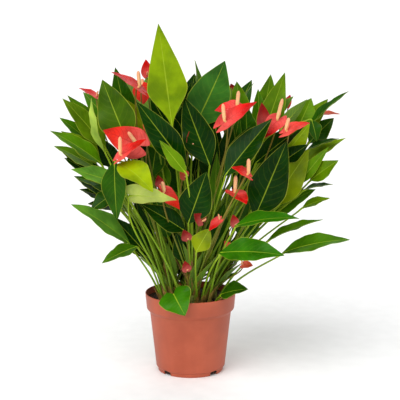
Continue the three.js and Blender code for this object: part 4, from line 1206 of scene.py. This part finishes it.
def build_crown(place, root, blades, buds):
    name = f"crown_{place}"
    leaves, stalks, stem, sheaths, reds, spadices = (Batch() for _ in range(6))
    paths = [add_leaf(leaves, stalks, crown_point(root, i)[None], row, i) for i, row in enumerate(blades)]
    for index, tip in enumerate(STRAPS[place]):
        add_strap(leaves, root, tip, index)
    for index, row in enumerate(buds):
        add_bud(reds, spadices, stalks, root, row, index)
    for index, bloom in enumerate([row for row in BLOOMS if row[0] == place]):
        paths.append(add_peduncle(stalks, root, bloom, index))
    add_stem(stem, root)
    for path in paths:
        for _ in range(2):
            sway = vec([draw.uniform(-0.6, 0.6) for _ in range(3)])
            outward = unit(away_from(root, path[len(path) // 2]) + sway)
            share, length = draw.uniform(*CROWN_SHEATH_STARTS), draw.uniform(*CROWN_SHEATHS)
            add_sheath(sheaths, path, share, length, outward)
    make_piece(f"{name}_blades", leaves, [UPPER, LOWER], name)
    make_piece(f"{name}_stalks", stalks, [STALKS], name)
    make_piece(f"{name}_stem", stem, [STALKS], name)
    make_piece(f"{name}_sheaths", sheaths, [SHEATHS], name)
    if buds:
        make_piece(f"{name}_bud_spathes", reds, [RED, RED_BACK], name)
        make_piece(f"{name}_bud_spadices", spadices, [SPADICES], name)


# ---- the small leaves inside the plant ----


def inner_row(size):
    """A leaf at a random place in the depth of the plant, with a size from 0 to 1."""
    level = draw.random()
    turn = draw.uniform(0, pi)
    spread = lerp(*INNER_SPREAD, level) * sqrt(draw.random())
    outward = vec([cos(turn), sin(turn), 0])
    start = vec([0, INNER_FRONT, lerp(*INNER_HEIGHTS, level)]) + outward * spread
    length = lerp(*INNER_LENGTHS, size)
    sway = vec([draw.uniform(-0.3, 0.3), draw.uniform(-0.3, 0.3), 0])
    tip = start + length * unit(UP + outward * spread / INNER_SPREAD[1] + sway)
    face = unit(UP * 0.5 + sway + vec([0, draw.choice([-1, -1, 1]), 0]))
    tone = draw.choice(INNER_TONES)
    width = length * draw.uniform(*INNER_WIDTHS)
    return start, tip, face, width, draw.uniform(*INNER_DROOPS), "leaf", tone


def add_inner_leaves(place, root):
    """Small leaves of a crown: the listed ones, and random ones each where it and its stalk run clear of all
    the rest.
    """
    name = f"crown_{place}"
    blades, stalks = Batch(), Batch()
    for index, row in enumerate(FILLERS[place]):
        add_leaf(blades, stalks, crown_point(root, index)[None], row, index)
    rows, columns = np.linspace(0, 1, 24)[:, None], np.linspace(-0.45, 0.45, 10)[None]
    grown = 0
    for attempt in range(INNER_TRIES):
        row = inner_row(1 - attempt / INNER_TRIES)
        start, tip, face, width, droop = row[:5]
        spine = spine_of(start, tip, face, droop)
        if not is_clear(on_spine(spine, rows, columns * width, 0).reshape(-1, 3)):
            continue
        sway = vec([draw.uniform(-1, 1), draw.uniform(-1, 1), 0]) * CROWN_RADIUS
        origin = crown_point(root, attempt) + sway
        path = kneed(arch_of(origin, start, spine["ahead"]), start, spine["ahead"])
        stalk = evenly(path)[:-2]
        if is_clear(stalk[stalk[:, 2] > SOIL_LEVEL + INNER_FREE], 0):
            add_leaf(blades, stalks, origin[None], row, attempt)
            grown += 1
            if grown == INNER_LEAVES:
                break
    make_piece(f"{name}_inner_blades", blades, [UPPER, LOWER], name)
    make_piece(f"{name}_inner_stalks", stalks, [STALKS], name)


# ---- blooms ----


def add_spadix(batch, base, way, length, radius):
    """A spadix: a blunt spike covered all round by small florets in slanting rows."""
    side = unit(np.cross(way, vec([0.3, 0.9, 0.1])))
    third = np.cross(way, side)
    share = np.linspace(0, 1, SPADIX_ROWS + 1)
    beyond = ((share - SPADIX_SHOULDER) / (1 - SPADIX_SHOULDER)).clip(0)
    body = np.minimum(1, SPADIX_SHOULDER + 1.2 * share) * np.sqrt(np.clip(1 - beyond ** 2, 0, 1))
    u, a = np.meshgrid(share, ring_of(SPADIX_AROUND), indexing="ij")
    slant, around = FLORET_TURNS * u * length / radius / 4 * pi, FLORETS * a / 2
    floret = np.abs(np.cos(around + slant) * np.cos(around - slant)) ** 0.5
    radii = radius * (body[:, None] * (0.9 + 0.12 * floret))
    points = base + (u * length)[..., None] * way
    points = points + radii[..., None] * (np.cos(a)[..., None] * side + np.sin(a)[..., None] * third)
    colours = np.repeat(shaded(SPADIX, SPADIX_ROWS + 1, 1), SPADIX_AROUND, axis=0)
    paints = np.hstack([colours, np.full((len(colours), 1), SPADIX_ROUGH)])
    places = np.stack([floret, u, a], axis=2).reshape(-1, 3)
    batch.add(points.reshape(-1, 3), tube_faces(SPADIX_ROWS + 1, SPADIX_AROUND), paints, places)


def build_bloom(number, seat, tip, face, width, lean, length, tone):
    spathe, spadix = Batch(), Batch()
    spine = bloom_spine(seat, tip, face)
    add_blade(spathe, spine, SHAPES["spathe"], width, width * SPATHE_WAVE, number - 1, tinted(tone),
              SPATHE_GRID, SPATHE_RELIEF)
    base = on_spine(spine, SEAT, 0, 0)
    neck = on_spine(spine, SEAT, 0, BLADE_THICKNESS + SPADIX_NECK)
    radii, colours = [SPADIX_RADIUS * SPADIX_FOOT] * 3, [linear(SPADIX["foot"])] * 3
    add_tube(spadix, [base, lerp(base, neck, 0.5), neck], radii, colours)
    add_spadix(spadix, lerp(base, neck, 0.8), unit(vec(lean)), length, SPADIX_RADIUS)
    make_piece(f"spathe_{number}_leaf", spathe, [RED, RED_BACK], f"spathe_{number}")
    make_piece(f"spadix_{number}_spike", spadix, [SPADICES], f"spadix_{number}")


# ---- the plant ----

build_pot()
build_soil()
for index, leaf in enumerate(LEAVES):
    build_leaf(index, *leaf)
for crown in CROWNS:
    build_crown(*crown)
for number, bloom in enumerate(BLOOMS, start=1):
    build_bloom(number, *bloom[1:])
for place, root, *_ in CROWNS:
    add_inner_leaves(place, root)

# ---- stage ----


def build_floor():
    profile = [(0, -FLOOR_DEPTH), (FLOOR_RADIUS, -FLOOR_DEPTH), (FLOOR_RADIUS, 0), (0, 0)]
    floor = plain_object("studio_floor", *turned(profile, FLOOR_SIDES))
    floor.data.materials.append(floor_finish())


def add_light(name, source, strength):
    """A broad soft light that falls alike on the whole stage."""
    light = bpy.data.lights.new(name, "SUN")
    light.energy = strength
    light.angle = radians(LIGHT_SPREAD)
    lamp = placed(name, light)
    lamp.location = source
    lamp.rotation_euler = (-Vector(source)).to_track_quat("-Z", "Y").to_euler()


def build_studio():
    world = bpy.data.worlds.new("studio")
    world.use_nodes = True
    background = world.node_tree.nodes["Background"]
    background.inputs["Color"].default_value = (1, 1, 1, 1)
    background.inputs["Strength"].default_value = WORLD_LIGHT
    bpy.context.scene.world = world
    bpy.context.scene.view_settings.view_transform = "Standard"
    for light in LIGHTS:
        add_light(*light)


def build_camera():
    camera = bpy.data.cameras.new("camera")
    camera.lens = CAMERA_LENS
    camera.sensor_width = 36
    viewer = placed("camera", camera)
    viewer.location = CAMERA_PLACE
    viewer.rotation_euler = (radians(90 - CAMERA_PITCH), 0, 0)
    bpy.context.scene.camera = viewer


build_floor()
build_studio()
build_camera()
